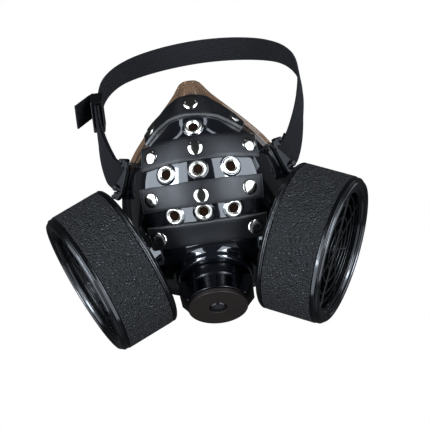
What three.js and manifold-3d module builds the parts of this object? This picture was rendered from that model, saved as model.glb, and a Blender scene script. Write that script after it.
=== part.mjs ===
// A half mask in the style of an old gas mask, made for costume: a moulded face shell with riveted leather
// strips and eyelets on its front, a leather-wrapped canister on each side, an exhale valve that points down
// and forward, and one elastic strap round the back of the head.
// Millimetres, +Z up, the front faces -Y. +X is the wearer's left. The origin is the middle of the face opening.
import * as THREE from "three";
import { mergeVertices } from "three/addons/utils/BufferGeometryUtils.js";
import Module from "manifold-3d";

const wasm = await Module();
wasm.setup();

// Clearances
const GAP = 0.35; // between pieces that touch on the real mask
const HOLE_GAP = 0.3; // round a shank or barrel in its hole
const DRILL_REACH = 8; // that a cutter runs on behind the skin

// Face shell
const SHELL_HALF_WIDTH = 50;
const SHELL_DEPTH = 54; // from the cheeks forward to the front panel
const SHELL_HEIGHT = 121.5; // from the chin rim to the top of the nose
const SHELL_BELOW_ORIGIN = 63;
const SHELL_WALL = 2;
const FLANGE_WALL = 1.2;
const PANEL_EDGE_ROUND = 3.5; // length of the rounded corner on each side of the panel's edge
const FLANGE_ROOT_ROUND = 3;
const SLOT = { row: 4.72, t: 2.78, width: 4.6, height: 3.8 }; // hole that the buckle's link hooks into

// Leather strips on the front panel
const STRIP_WIDTH = 13.2;
const STRIP_THICKNESS = 1.6;
const STRIP_HALF_LENGTHS = { nose: 27.5, upper: 31.5, middle: 33, lower: 32 };
const STRIP_SHIFTS = { nose: -1.4, upper: 1.2, middle: 0, lower: 0.6 }; // of its middle to the wearer's left
const STRIP_HEIGHTS = { nose: 43.5, upper: 19, middle: -5.7, lower: -27.1 }; // at its middle
const STRIP_DROPS = { nose: 14.2, upper: 2.8, middle: 0.2, lower: -0.3 }; // how far the ends lie below the middle

// Rivets
const RIVET_CAP = 8.4;
const RIVET_DOME = 2.1;
const RIVET_CAP_EDGE = 0.6;
const RIVET_SHANK = 3;
const RIVET_BACK_CAP = 6.2;
const RIVET_BACK_HEIGHT = 0.9;
// From the middle of the mask to the end rivets, and from a strip's middle line down to its middle rivet
const RIVET_PLACES = {
  nose: { left: 21, right: 23.9, low: -0.5 },
  upper: { left: 28.2, right: 24.4, low: 0.3 },
  middle: { left: 25.8, right: 27, low: 1.5 },
  lower: { left: 26, right: 26 },
};

// Eyelets
const EYELET_FLANGE = 10.2;
const EYELET_BORE = 5.3;
const EYELET_BARREL = 6.3;
const EYELET_ROLL = 1.4; // height of the rolled front flange
const EYELET_DEPTH = 0.7; // of its barrel in the shell's wall
const EYELET_TOP_HEIGHT = 31;
const EYELET_ROWS = [
  { name: "upper", height: 7.4, spacing: 17.9, drop: 0.6 },
  { name: "lower", height: -16.1, spacing: 16.4, drop: 0.2 },
];

// Canisters
const CANISTER_RADIUS = 42.2;
const CANISTER_LENGTH = 31.8; // from the back plate to the leather band's outer edge
const CANISTER_STAND_OFF = 7.6; // from the shell's side wall to the back plate
const CANISTER_SEAT = { row: 9, t: 2.5 }; // where its axis leaves the shell
const CANISTER_FORWARD = 14; // degrees that its axis turns to the front
const CANISTER_DOWN = 23.8; // degrees that its axis drops below the horizontal
const CANISTER_WALL = 2;
const CANISTER_SIDES = 18;
const BACK_RING_HEIGHT = 3.4;
const BACK_RING_BEVEL = 1.6;
const BAND_THICKNESS = 1.6;
const FRONT_RIM_HEIGHT = 4.2;
const FRONT_RIM_STEP = 1;
const RECESS_RADIUS = 33.2;
const GRILLE_DEPTH = 6.5; // from the rim's face down to the web
const GRILLE_THICKNESS = 1.6;
const GRILLE_RING_RADII = [0.27, 0.44, 0.61, 0.73]; // shares of the canister's radius
const GRILLE_HUB = 0.1; // share of the canister's radius
const GRILLE_RING_WIDTH = 1.2;
const GRILLE_RIBS = 8;
const GRILLE_RIB_WIDTH = 1.1;
const GRILLE_BAR_WIDTH = 3.6;
const NECK_RADIUS = 8.5;
const NECK_WALL = 2.2;
const NECK_LENGTH = 12;
const SOCKET_WALL = 2.5;

// Exhale valve
const VALVE_ROW = 11; // where its axis leaves the shell's middle line
const VALVE_TILT = 33; // degrees from straight down towards the front
const BOSS_RADIUS = 22;
const BOSS_HEIGHT = 3.2;
const VALVE_BORE = 13;
const COLLAR_RADIUS = 17.5;
const COLLAR_HEIGHT = 7.4;
const WINDOW_HEIGHT = 7.4;
const CAGE_RING_HEIGHT = 1;
const CAGE_WALL = 2.6;
const CAGE_POSTS = 8;
const POST_WIDTH = 2;
const DRUM_RADIUS = 11.5;
const CAP_RADIUS = 16.7;
const CAP_THICKNESS = 2.8;
const BUTTON_RADIUS = 4.6;
const BUTTON_RECESS = 5;
const BUTTON_DEPTH = 1.4;
const BUTTON_DOME = 1.2;
const LUG_REACH = 20.4;
const LUG_WIDTH = 15;
const LUG_START = 3.4; // above the boss
const LUG_STRAIGHT = 8;
const LUG_CHAMFER = 4.6;

// Buckles, pegs and strap
const BUCKLE_ROWS = { upper: 4.25, lower: 6.1 }; // rows of the shell's rim that it spans
const BUCKLE_THICKNESS = 2.6;
const BUCKLE_LIFT = 1.1; // above the flange
const BUCKLE_REACH = 4.9; // from the rim to the plate's outermost point
const STRAP_BAR_RADIUS = 1.1;
const STRAP_BAR_OUT = 5; // from the rim
const STRAP_SIDE_PLAY = 1.8; // beside the strap on its bar
const PIN_RADIUS = 1;
const PIN_KNOB = 1.9;
const PIN_OUT = 5.2; // from the rim to the knob
const PIN_DROP = 0.725; // share of the buckle's height from its tip down to the peg
const LINK_RADIUS = 0.9;
const LINK_DROP = 0.2; // share of the buckle's height from its tip down to the link
const STRAP_WIDTH = 16;
const STRAP_THICKNESS = 1.4;
const STRAP_HALF_SPAN = 63.5;
const STRAP_REACH = 165; // from the face opening to the back of the head
const STRAP_RISE = 88; // from the buckles up to the back of the head
const STRAP_STRAIGHT = 5; // that it runs straight on from its bar
const STRAP_TAIL = 15; // sewn end beside the wearer's left buckle
const STRAP_STEPS = 20; // from a buckle to the middle of the back
const LAYER_JOIN = 12; // length over which two layers close up beside the bar
const SLIDER_WIDTH = 21;
const SLIDER_LENGTH = 14;
const SLIDER_WALL = 2;
const SLIDER_GAP = 0.45; // round the strap in the slider
const SLIDER_PLACE = 0.4; // share of the way from the buckle to the back of the head
const FLAP_LENGTH = 16; // of the free end that is folded back from the slider
const FLAP_TURN = 2.3; // radius of its fold
const FLAP_ANGLE = 150; // degrees that it is folded back

const MATERIALS = {
  shell: { color: 0x0b0c10, roughness: 0.18, metalness: 0 },
  leather: { color: 0x17171a, roughness: 0.6, metalness: 0 },
  pebbled: { color: 0x131315, roughness: 0.55, metalness: 0 },
  nickel: { color: 0xc9c7bd, roughness: 0.2, metalness: 1 },
  plastic: { color: 0x101114, roughness: 0.3, metalness: 0 },
  cap: { color: 0x24201f, roughness: 0.5, metalness: 0 },
  buckle: { color: 0x2e2f32, roughness: 0.55, metalness: 0 },
  elastic: { color: 0x1b1b1d, roughness: 0.9, metalness: 0 },
};

// Sections of the face shell from the nose down to the chin. x is a share of SHELL_HALF_WIDTH, y of
// SHELL_DEPTH (negative is forward) and z of SHELL_HEIGHT above the chin rim. Each row runs from the middle
// ridge over the front panel's edge and the side wall to the flange's root and the rim on the face.
const SHELL_ROWS = [
  { ridge: [0, -0.5, 1], edge: [0.052, -0.492, 0.999], wall: [0.076, -0.482, 0.997],
    root: [0.096, -0.468, 0.994], rim: [0.116, -0.452, 0.991] },
  { ridge: [0, -0.6, 0.934], edge: [0.1, -0.585, 0.932], wall: [0.14, -0.535, 0.931],
    root: [0.178, -0.452, 0.931], rim: [0.222, -0.396, 0.937] },
  { ridge: [0, -0.693, 0.87], edge: [0.18, -0.646, 0.868], wall: [0.252, -0.53, 0.866],
    root: [0.326, -0.368, 0.866], rim: [0.386, -0.3, 0.872] },
  { ridge: [0, -0.79, 0.798], edge: [0.29, -0.706, 0.79], wall: [0.392, -0.51, 0.79],
    root: [0.51, -0.245, 0.788], rim: [0.58, -0.178, 0.795] },
  { ridge: [0, -0.895, 0.72], edge: [0.47, -0.744, 0.716], wall: [0.57, -0.488, 0.715],
    root: [0.7, -0.135, 0.704], rim: [0.774, -0.075, 0.705] },
  { ridge: [0, -0.952, 0.629], edge: [0.58, -0.772, 0.634], wall: [0.696, -0.492, 0.629],
    root: [0.83, -0.06, 0.617], rim: [0.906, 0, 0.612] },
  { ridge: [0, -0.991, 0.531], edge: [0.64, -0.787, 0.543], wall: [0.756, -0.5, 0.535],
    root: [0.9, -0.019, 0.518], rim: [0.976, 0.046, 0.514] },
  { ridge: [0, -0.981, 0.44], edge: [0.62, -0.796, 0.452], wall: [0.76, -0.509, 0.436],
    root: [0.92, 0.009, 0.403], rim: [0.996, 0.083, 0.395] },
  { ridge: [0, -0.926, 0.366], edge: [0.58, -0.787, 0.37], wall: [0.736, -0.5, 0.35],
    root: [0.89, 0.028, 0.292], rim: [0.96, 0.102, 0.272] },
  { ridge: [0, -0.833, 0.292], edge: [0.51, -0.75, 0.296], wall: [0.68, -0.472, 0.263],
    root: [0.81, 0.019, 0.189], rim: [0.87, 0.093, 0.16] },
  { ridge: [0, -0.715, 0.2], edge: [0.42, -0.662, 0.206], wall: [0.59, -0.398, 0.176],
    root: [0.69, 0, 0.107], rim: [0.736, 0.074, 0.079] },
  { ridge: [0, -0.42, 0.1], edge: [0.32, -0.42, 0.107], wall: [0.46, -0.278, 0.095],
    root: [0.53, -0.037, 0.062], rim: [0.56, 0.037, 0.035] },
  { ridge: [0, -0.222, 0.046], edge: [0.21, -0.226, 0.048], wall: [0.3, -0.163, 0.044],
    root: [0.35, -0.074, 0.037], rim: [0.372, -0.009, 0.012] },
  { ridge: [0, -0.065, 0.002], edge: [0.09, -0.063, 0.003], wall: [0.13, -0.057, 0.003],
    root: [0.16, -0.052, 0.004], rim: [0.186, -0.044, 0.003] },
];
// Where a section is sampled, from 0 on the ridge to 5 on the rim, and the rows between two table rows
const SECTION_SAMPLES = [0, 0.4, 0.75, 1, 1.5, 2, 2.6, 3.4, 5];
const ROWS_BETWEEN = 2;

// The strap's middle line from the wearer's left buckle to the back of the head: x is a share of
// STRAP_HALF_SPAN, y of STRAP_REACH, z of STRAP_RISE above the buckle. "up" points to its upper edge.
const STRAP_ROUTE = [
  { x: 0.845, y: 0.085, z: 0.09, up: [-0.3, -0.25, 0.92] },
  { x: 0.905, y: 0.17, z: 0.21, up: [-0.22, -0.38, 0.9] },
  { x: 0.955, y: 0.29, z: 0.355, up: [-0.1, -0.46, 0.88] },
  { x: 0.995, y: 0.46, z: 0.545, up: [-0.05, -0.5, 0.86] },
  { x: 0.965, y: 0.645, z: 0.735, up: [-0.1, -0.48, 0.87] },
  { x: 0.78, y: 0.835, z: 0.885, up: [-0.22, -0.4, 0.89] },
  { x: 0.43, y: 0.957, z: 0.97, up: [-0.15, -0.36, 0.93] },
  { x: 0, y: 1, z: 1, up: [0, -0.34, 0.94] },
];

// The outline of a buckle's plate from its upper tip: "out" is a share of BUCKLE_REACH along the strap, "down"
// of the buckle's height along the rim. First the hook, then the web down to the notch round the peg
const BUCKLE_OUTLINE = [
  { out: -0.39, down: 0.094 }, { out: -0.16, down: 0 }, { out: 0.24, down: 0.009 },
  { out: 0.53, down: 0.071 }, { out: 0.69, down: 0.156 }, { out: 0.55, down: 0.189 },
  { out: 0.35, down: 0.17 }, { out: 0.12, down: 0.132 }, { out: 0.04, down: 0.198 },
  { out: 0.88, down: 0.627 }, { out: 0.33, down: 0.623 }, { out: -0.04, down: 0.67 },
  { out: -0.08, down: 0.75 }, { out: 0.16, down: 0.821 }, { out: 0.57, down: 0.83 },
  { out: 0.94, down: 0.802 }, { out: 1, down: 0.906 }, { out: 0.16, down: 1 },
  { out: -0.39, down: 0.811 },
];

const clamp = (value, low, high) => Math.min(Math.max(value, low), high);
const lerp = (a, b, s) => a + (b - a) * s;
const vec = (x, y, z) => new THREE.Vector3(x, y, z);
const mirrorX = (p) => vec(-p.x, p.y, p.z);

// Solids and meshes

// A closed solid from a three.js geometry, turned right side out
function solidOf(geometry) {
  const bare = geometry.index ? geometry.toNonIndexed() : geometry.clone();
  bare.deleteAttribute("normal");
  bare.deleteAttribute("uv");
  const merged = mergeVertices(bare, 1e-4);
  const build = (triVerts) =>
    new wasm.Manifold(
      new wasm.Mesh({ numProp: 3, vertProperties: merged.attributes.position.array, triVerts }),
    );
  const triangles = new Uint32Array(merged.index.array);
  const solid = build(triangles);
  if (solid.volume() > 0) return solid;
  return build(triangles.map((_, i, all) => all[i % 3 === 1 ? i + 1 : i % 3 === 2 ? i - 1 : i]));
}

function geometryOf(solid) {
  const mesh = solid.getMesh();
  const positions = new Float32Array(mesh.numVert * 3);
  for (let i = 0; i < mesh.numVert; i++) {
    positions.set(mesh.vertProperties.subarray(i * mesh.numProp, i * mesh.numProp + 3), i * 3);
  }
  const geometry = new THREE.BufferGeometry();
  geometry.setAttribute("position", new THREE.BufferAttribute(positions, 3));
  geometry.setIndex(new THREE.BufferAttribute(new Uint32Array(mesh.triVerts), 1));
  const flat = geometry.toNonIndexed();
  flat.computeVertexNormals();
  return flat;
}

function meshOf(name, solid, material) {
  const mesh = new THREE.Mesh(geometryOf(solid), new THREE.MeshStandardMaterial(MATERIALS[material]));
  mesh.name = name;
  return mesh;
}

// A ring or round body about +Z from a closed outline of [radius, height] points
function turned(outline, sides) {
  const points = outline.map(([radius, height]) => new THREE.Vector2(radius, height));
  const onAxis = outline[0][0] === 0 && outline.at(-1)[0] === 0;
  if (!onAxis) points.push(points[0].clone());
  return solidOf(new THREE.LatheGeometry(points, sides).rotateX(Math.PI / 2));
}

function rodZ(radius, from, to, sides = 16) {
  return turned([[0, from], [radius, from], [radius, to], [0, to]], sides);
}

function block(width, depth, height, x, y, z) {
  return solidOf(new THREE.BoxGeometry(width, depth, height).translate(x, y, z));
}

// The matrix of a frame at a point whose z axis is "out" and whose y axis leans to "up"
function frameAt(point, out, up = vec(0, 0, 1)) {
  const z = out.clone().normalize();
  const x = up.clone().cross(z).normalize();
  const y = z.clone().cross(x);
  return new THREE.Matrix4().makeBasis(x, y, z).setPosition(point);
}

const moved = (solid, matrix) => solid.transform(matrix.elements);

function place(mesh, matrix) {
  matrix.decompose(mesh.position, mesh.quaternion, mesh.scale);
  return mesh;
}

// A closed body from rings of points, each ring as long as the next, joined in order and capped at its ends
function loft(rings) {
  const count = rings[0].length;
  const positions = rings.flat().flatMap((p) => [p.x, p.y, p.z]);
  const index = [];
  for (let r = 0; r + 1 < rings.length; r++) {
    for (let i = 0; i < count; i++) {
      const a = r * count + i;
      const b = r * count + ((i + 1) % count);
      index.push(a, b, a + count, b, b + count, a + count);
    }
  }
  const last = (rings.length - 1) * count;
  for (let i = 1; i + 1 < count; i++) {
    index.push(0, i + 1, i, last, last + i, last + i + 1);
  }
  const geometry = new THREE.BufferGeometry();
  geometry.setAttribute("position", new THREE.Float32BufferAttribute(positions, 3));
  geometry.setIndex(index);
  return solidOf(geometry);
}

// Face shell

function shellLine(column) {
  const points = SHELL_ROWS.map((row) => {
    const [x, y, z] = row[column];
    return vec(x * SHELL_HALF_WIDTH, y * SHELL_DEPTH, z * SHELL_HEIGHT - SHELL_BELOW_ORIGIN);
  });
  return new THREE.CatmullRomCurve3(points, false, "catmullrom", 0.5);
}

const LAST_ROW = SHELL_ROWS.length - 1;
const LINES = Object.fromEntries(
  ["ridge", "edge", "wall", "root", "rim"].map((column) => [column, shellLine(column)]),
);
const onLine = (column, row) => LINES[column].getPoint(clamp(row / LAST_ROW, 0, 1));

const bend = (a, b, c, s) =>
  a.clone().multiplyScalar((1 - s) * (1 - s)).addScaledVector(b, 2 * s * (1 - s)).addScaledVector(c, s * s);

// The section at a row: the crowned front panel, its rounded edge, the side wall and the flange
function sectionAt(row) {
  const ridge = onLine("ridge", row);
  const edge = onLine("edge", row);
  const wall = onLine("wall", row);
  const root = onLine("root", row);
  const rim = onLine("rim", row);
  const crown = vec(edge.x / 2, ridge.y, (ridge.z + edge.z) / 2);
  const belly = wall.clone().multiplyScalar(2).sub(edge.clone().add(root).multiplyScalar(0.5));
  const panelShare = clamp(PANEL_EDGE_ROUND / ridge.distanceTo(edge), 0, 0.35);
  const wallLength = edge.distanceTo(root);
  const wallStart = clamp(PANEL_EDGE_ROUND / wallLength, 0, 0.3);
  const wallEnd = 1 - clamp(FLANGE_ROOT_ROUND / wallLength, 0, 0.3);
  const flangeStart = clamp(FLANGE_ROOT_ROUND / root.distanceTo(rim), 0, 0.4);
  const onPanel = (s) => bend(ridge, crown, edge, s);
  const onWall = (s) => bend(edge, belly, root, s);
  const onFlange = (s) => root.clone().lerp(rim, s);
  return (t) => {
    if (t <= 1) return onPanel(t * (1 - panelShare));
    if (t <= 2) return bend(onPanel(1 - panelShare), edge, onWall(wallStart), t - 1);
    if (t <= 3) return onWall(lerp(wallStart, wallEnd, t - 2));
    if (t <= 4) return bend(onWall(wallEnd), root, onFlange(flangeStart), t - 3);
    return onFlange(lerp(flangeStart, 1, t - 4));
  };
}

const skinPoint = (row, t) => sectionAt(row)(t);

// The skin's outward normal on the +X half
function skinNormal(row, t) {
  const step = 0.02;
  const down = skinPoint(Math.min(row + step, LAST_ROW), t).sub(skinPoint(Math.max(row - step, 0), t));
  const across = skinPoint(row, Math.min(t + step, 5)).sub(skinPoint(row, Math.max(t - step, 0)));
  if (t < step) across.set(1, 0, 0);
  return down.cross(across).normalize();
}

const wallAt = (t) => (t <= 3 ? SHELL_WALL : lerp(SHELL_WALL, FLANGE_WALL, Math.min(t - 3, 1)));

// The bare shell: an outer and an inner skin, joined round the rim
function shellSkins() {
  const rowCount = LAST_ROW * ROWS_BETWEEN;
  const across = [...SECTION_SAMPLES.slice(1).reverse().map((t) => -t), ...SECTION_SAMPLES];
  const outer = [];
  const inner = [];
  for (let r = 0; r <= rowCount; r++) {
    const row = r / ROWS_BETWEEN;
    for (const signed of across) {
      const t = Math.abs(signed);
      const point = skinPoint(row, t);
      const behind = point.clone().addScaledVector(skinNormal(row, t), -wallAt(t));
      outer.push(signed < 0 ? mirrorX(point) : point);
      inner.push(signed < 0 ? mirrorX(behind) : behind);
    }
  }
  const width = across.length;
  const positions = [...outer, ...inner].flatMap((p) => [p.x, p.y, p.z]);
  const index = [];
  const quad = (a, b, c, d) => index.push(a, b, c, a, c, d);
  for (let r = 0; r < rowCount; r++) {
    for (let i = 0; i + 1 < width; i++) {
      const a = r * width + i;
      quad(a, a + width, a + width + 1, a + 1);
      quad(a + outer.length, a + 1 + outer.length, a + width + 1 + outer.length, a + width + outer.length);
    }
  }
  const seam = (a, b) => quad(a, b, b + outer.length, a + outer.length);
  for (let i = 0; i + 1 < width; i++) {
    seam(i, i + 1);
    seam(rowCount * width + i + 1, rowCount * width + i);
  }
  for (let r = 0; r < rowCount; r++) {
    seam((r + 1) * width, r * width);
    seam(r * width + width - 1, (r + 1) * width + width - 1);
  }
  const geometry = new THREE.BufferGeometry();
  geometry.setAttribute("position", new THREE.Float32BufferAttribute(positions, 3));
  geometry.setIndex(index);
  return solidOf(geometry);
}

// The shell's row and skin point at a place x, z as seen from the front
function skinFrom(x, z) {
  const side = Math.abs(x);
  const tAt = (section) => {
    let low = 0;
    let high = 5;
    for (let i = 0; i < 26; i++) {
      const middle = (low + high) / 2;
      if (section(middle).x < side) low = middle;
      else high = middle;
    }
    return (low + high) / 2;
  };
  let above = 0;
  let below = LAST_ROW;
  for (let i = 0; i < 26; i++) {
    const row = (above + below) / 2;
    const section = sectionAt(row);
    if (section(tAt(section)).z > z) above = row;
    else below = row;
  }
  const row = (above + below) / 2;
  const section = sectionAt(row);
  return { row, t: tAt(section), point: section(tAt(section)) };
}

// The front panel's crowned surface at x, z, carried on straight past the panel's edge
function panelY(x, z) {
  const shareAt = (row) => Math.abs(x) / onLine("edge", row).x;
  const crown = (share) => (share < 1 ? share * share : 2 * share - 1);
  let above = 0;
  let below = LAST_ROW;
  for (let i = 0; i < 26; i++) {
    const row = (above + below) / 2;
    const height = lerp(onLine("ridge", row).z, onLine("edge", row).z, shareAt(row));
    if (height > z) above = row;
    else below = row;
  }
  const row = (above + below) / 2;
  return lerp(onLine("ridge", row).y, onLine("edge", row).y, crown(shareAt(row)));
}
const coverY = (x, z) => skinFrom(x, z).point.y;

// A point and outward normal on a surface y(x, z)
function surfaceAt(surface, x, z) {
  const step = 0.4;
  const normal = vec(
    (surface(x + step, z) - surface(x - step, z)) / (2 * step),
    -1,
    (surface(x, z + step) - surface(x, z - step)) / (2 * step),
  ).normalize();
  return { point: vec(x, surface(x, z), z), normal };
}

// Strips, rivets and eyelets

const STRIP_NAMES = ["nose", "upper", "middle", "lower"];
const stripSurface = (name) => (name === "nose" ? coverY : panelY);

function stripPlace(name, x, low = 0) {
  const share = (x - STRIP_SHIFTS[name]) / STRIP_HALF_LENGTHS[name];
  return surfaceAt(stripSurface(name), x, STRIP_HEIGHTS[name] - STRIP_DROPS[name] * share * share - low);
}

// A strip bent over the panel: its middle line and both edges are seated on the surface
function stripSolid(name) {
  const half = STRIP_HALF_LENGTHS[name];
  const steps = name === "nose" ? 20 : 8;
  const rings = [];
  for (let i = 0; i <= steps; i++) {
    const x = STRIP_SHIFTS[name] + lerp(-half, half, i / steps);
    const ahead = stripPlace(name, x + 0.5).point;
    const along = ahead.sub(stripPlace(name, x - 0.5).point).normalize();
    const middle = stripPlace(name, x);
    const across = middle.normal.clone().cross(along).normalize();
    const seats = [-0.5, 0, 0.5].map((share) => {
      const target = middle.point.clone().addScaledVector(across, share * STRIP_WIDTH);
      return surfaceAt(stripSurface(name), target.x, target.z);
    });
    const layer = (height) => seats.map((seat) => seat.point.clone().addScaledVector(seat.normal, height));
    rings.push([...layer(GAP), ...layer(GAP + STRIP_THICKNESS).reverse()]);
  }
  return loft(rings);
}

const rivetFrames = STRIP_NAMES.flatMap((strip) => {
  const { left, right, low } = RIVET_PLACES[strip];
  const places = [["left", left, 0], ["right", -right, 0]];
  if (low !== undefined) places.push(["middle", 0, low]);
  return places.map(([side, x, drop]) => {
    const seat = stripPlace(strip, x, drop);
    return { name: "rivet_" + strip + "_" + side, strip, frame: frameAt(seat.point, seat.normal) };
  });
});

const eyeletFrames = [
  { name: "eyelet_top", x: 0, z: EYELET_TOP_HEIGHT },
  ...EYELET_ROWS.flatMap((row) =>
    [["left", 1], ["middle", 0], ["right", -1]].map(([side, share]) => ({
      name: "eyelet_" + row.name + "_" + side,
      x: share * row.spacing,
      z: row.height - row.drop * share * share,
    })),
  ),
].map(({ name, x, z }) => {
  const seat = surfaceAt(panelY, x, z);
  return { name, frame: frameAt(seat.point, seat.normal) };
});

// How far the shell reaches behind a seat within a radius of its axis
function depthBehind(shell, frame, radius) {
  const probe = moved(rodZ(radius + HOLE_GAP, -DRILL_REACH, 1), frame);
  const local = moved(shell.intersect(probe), frame.clone().invert());
  return -local.boundingBox().min[2] + GAP;
}

// How far a strip stands out under a rivet's cap
function heightOver(strip, frame, radius) {
  const probe = moved(rodZ(radius, -2, 4 * STRIP_THICKNESS), frame);
  const local = moved(strip.intersect(probe), frame.clone().invert());
  return local.boundingBox().max[2] + GAP;
}

function rivetSolid(depth, seat) {
  const cap = RIVET_CAP / 2;
  const back = RIVET_BACK_CAP / 2;
  const dome = seat + RIVET_CAP_EDGE;
  return turned(
    [
      [0, dome + RIVET_DOME], [0.65 * cap, dome + 0.62 * RIVET_DOME], [cap, dome], [cap, seat],
      [RIVET_SHANK / 2, seat], [RIVET_SHANK / 2, -depth], [back, -depth], [0, -depth - RIVET_BACK_HEIGHT],
    ],
    8,
  );
}

function eyeletSolid() {
  const bore = EYELET_BORE / 2;
  const barrel = EYELET_BARREL / 2;
  const flange = EYELET_FLANGE / 2;
  const crest = (bore + flange) / 2;
  return turned(
    [
      [bore, -EYELET_DEPTH], [bore, GAP + 0.5 * EYELET_ROLL], [crest, GAP + EYELET_ROLL], [flange, GAP],
      [barrel, GAP], [barrel, -EYELET_DEPTH],
    ],
    10,
  );
}

// Canisters, each about its own axis, with its back plate at height 0

const degrees = THREE.MathUtils.degToRad;

function canisterFrame(side) {
  const forward = degrees(CANISTER_FORWARD);
  const down = degrees(CANISTER_DOWN);
  const axis = vec(Math.cos(forward) * Math.cos(down), -Math.sin(forward), -Math.cos(forward) * Math.sin(down));
  const seat = skinPoint(CANISTER_SEAT.row, CANISTER_SEAT.t);
  const base = seat.addScaledVector(axis, CANISTER_STAND_OFF);
  return side > 0 ? frameAt(base, axis) : frameAt(mirrorX(base), mirrorX(axis));
}

const BODY_RADIUS = CANISTER_RADIUS - BAND_THICKNESS - GAP;
const RIM_BASE = CANISTER_LENGTH + GAP;
const RIM_TOP = RIM_BASE + FRONT_RIM_HEIGHT;

function canisterBody() {
  const bore = NECK_RADIUS - NECK_WALL;
  const cup = BODY_RADIUS - CANISTER_WALL;
  return turned(
    [
      [bore, -NECK_LENGTH], [NECK_RADIUS, -NECK_LENGTH], [NECK_RADIUS, 0],
      [CANISTER_RADIUS - BACK_RING_BEVEL, 0], [CANISTER_RADIUS, BACK_RING_BEVEL],
      [CANISTER_RADIUS, BACK_RING_HEIGHT], [BODY_RADIUS, BACK_RING_HEIGHT], [BODY_RADIUS, CANISTER_LENGTH],
      [cup, CANISTER_LENGTH], [cup, CANISTER_WALL], [bore, CANISTER_WALL],
    ],
    CANISTER_SIDES,
  );
}

function leatherBand() {
  const inner = CANISTER_RADIUS - BAND_THICKNESS;
  const back = BACK_RING_HEIGHT + GAP;
  return turned(
    [[inner, back], [CANISTER_RADIUS, back], [CANISTER_RADIUS, CANISTER_LENGTH], [inner, CANISTER_LENGTH]],
    CANISTER_SIDES,
  );
}

function frontRim() {
  const sleeve = BODY_RADIUS - CANISTER_WALL - GAP;
  const sleeveBack = RIM_BASE - FRONT_RIM_HEIGHT;
  const outer = CANISTER_RADIUS - 0.4 * FRONT_RIM_STEP;
  return turned(
    [
      [RECESS_RADIUS, sleeveBack], [RECESS_RADIUS, RIM_TOP - 2.4 * FRONT_RIM_STEP],
      [sleeve, RIM_TOP - FRONT_RIM_STEP], [sleeve + FRONT_RIM_STEP, RIM_TOP],
      [outer - FRONT_RIM_STEP, RIM_TOP - 0.4 * FRONT_RIM_STEP], [outer, RIM_TOP - 2 * FRONT_RIM_STEP],
      [outer, RIM_BASE], [sleeve, RIM_BASE], [sleeve, sleeveBack],
    ],
    CANISTER_SIDES,
  );
}

// A pierced plate: straight webs between ribs, the first rib and its opposite a broad bar
function grille() {
  const reach = RECESS_RADIUS * Math.cos(Math.PI / CANISTER_SIDES) - HOLE_GAP;
  const sector = (2 * Math.PI) / GRILLE_RIBS;
  const ribHalf = (i) => (i % (GRILLE_RIBS / 2) === 0 ? GRILLE_BAR_WIDTH : GRILLE_RIB_WIDTH) / 2;
  const corner = (radius, i, side) => {
    const angle = Math.PI / 2 + i * sector + side * Math.asin(ribHalf(i) / radius);
    return new THREE.Vector2(radius * Math.cos(angle), radius * Math.sin(angle));
  };
  const rings = [GRILLE_HUB, ...GRILLE_RING_RADII].map((share) => share * CANISTER_RADIUS);
  const outline = [];
  const holes = [];
  for (let i = 0; i < GRILLE_RIBS; i++) {
    const last = rings.at(-1) + GRILLE_RING_WIDTH / 2;
    outline.push(corner(last, i, -1), corner(reach, i, -1), corner(reach, i, 1), corner(last, i, 1));
    for (let r = 0; r + 1 < rings.length; r++) {
      const inner = rings[r] + GRILLE_RING_WIDTH / 2;
      const outer = rings[r + 1] - GRILLE_RING_WIDTH / 2;
      const next = i + 1;
      holes.push([corner(inner, i, 1), corner(outer, i, 1), corner(outer, next, -1), corner(inner, next, -1)]);
    }
  }
  const plate = new THREE.Shape(outline);
  plate.holes = holes.map((points) => new THREE.Path(points));
  const web = new THREE.ExtrudeGeometry(plate, { depth: GRILLE_THICKNESS, bevelEnabled: false });
  return solidOf(web.translate(0, 0, RIM_TOP - GRILLE_DEPTH));
}

// Exhale valve, about its own axis, with the shell's skin at height 0

const valveAxis = vec(0, -Math.sin(degrees(VALVE_TILT)), -Math.cos(degrees(VALVE_TILT)));
const valveFrame = frameAt(onLine("ridge", VALVE_ROW), valveAxis, vec(0, -1, 0));
const CAGE_BASE = BOSS_HEIGHT + GAP;
const WINDOW_BASE = CAGE_BASE + COLLAR_HEIGHT;
const CAGE_TOP = WINDOW_BASE + WINDOW_HEIGHT + CAGE_RING_HEIGHT;
const CAP_BASE = CAGE_TOP + GAP;

function lug(side) {
  const start = BOSS_HEIGHT + LUG_START;
  const root = DRUM_RADIUS + 0.5;
  const top = Math.min(start + LUG_STRAIGHT + LUG_CHAMFER, CAGE_TOP);
  const outline = new THREE.Shape(
    [
      [root, start], [LUG_REACH, start], [LUG_REACH, start + LUG_STRAIGHT],
      [LUG_REACH - 0.85 * LUG_CHAMFER, top], [root, top],
    ].map(([x, z]) => new THREE.Vector2(x, z)),
  );
  const wing = new THREE.ExtrudeGeometry(outline, { depth: LUG_WIDTH, bevelEnabled: false });
  wing.translate(0, 0, -LUG_WIDTH / 2).rotateX(Math.PI / 2);
  if (side < 0) wing.rotateZ(Math.PI);
  return solidOf(wing);
}

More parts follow.
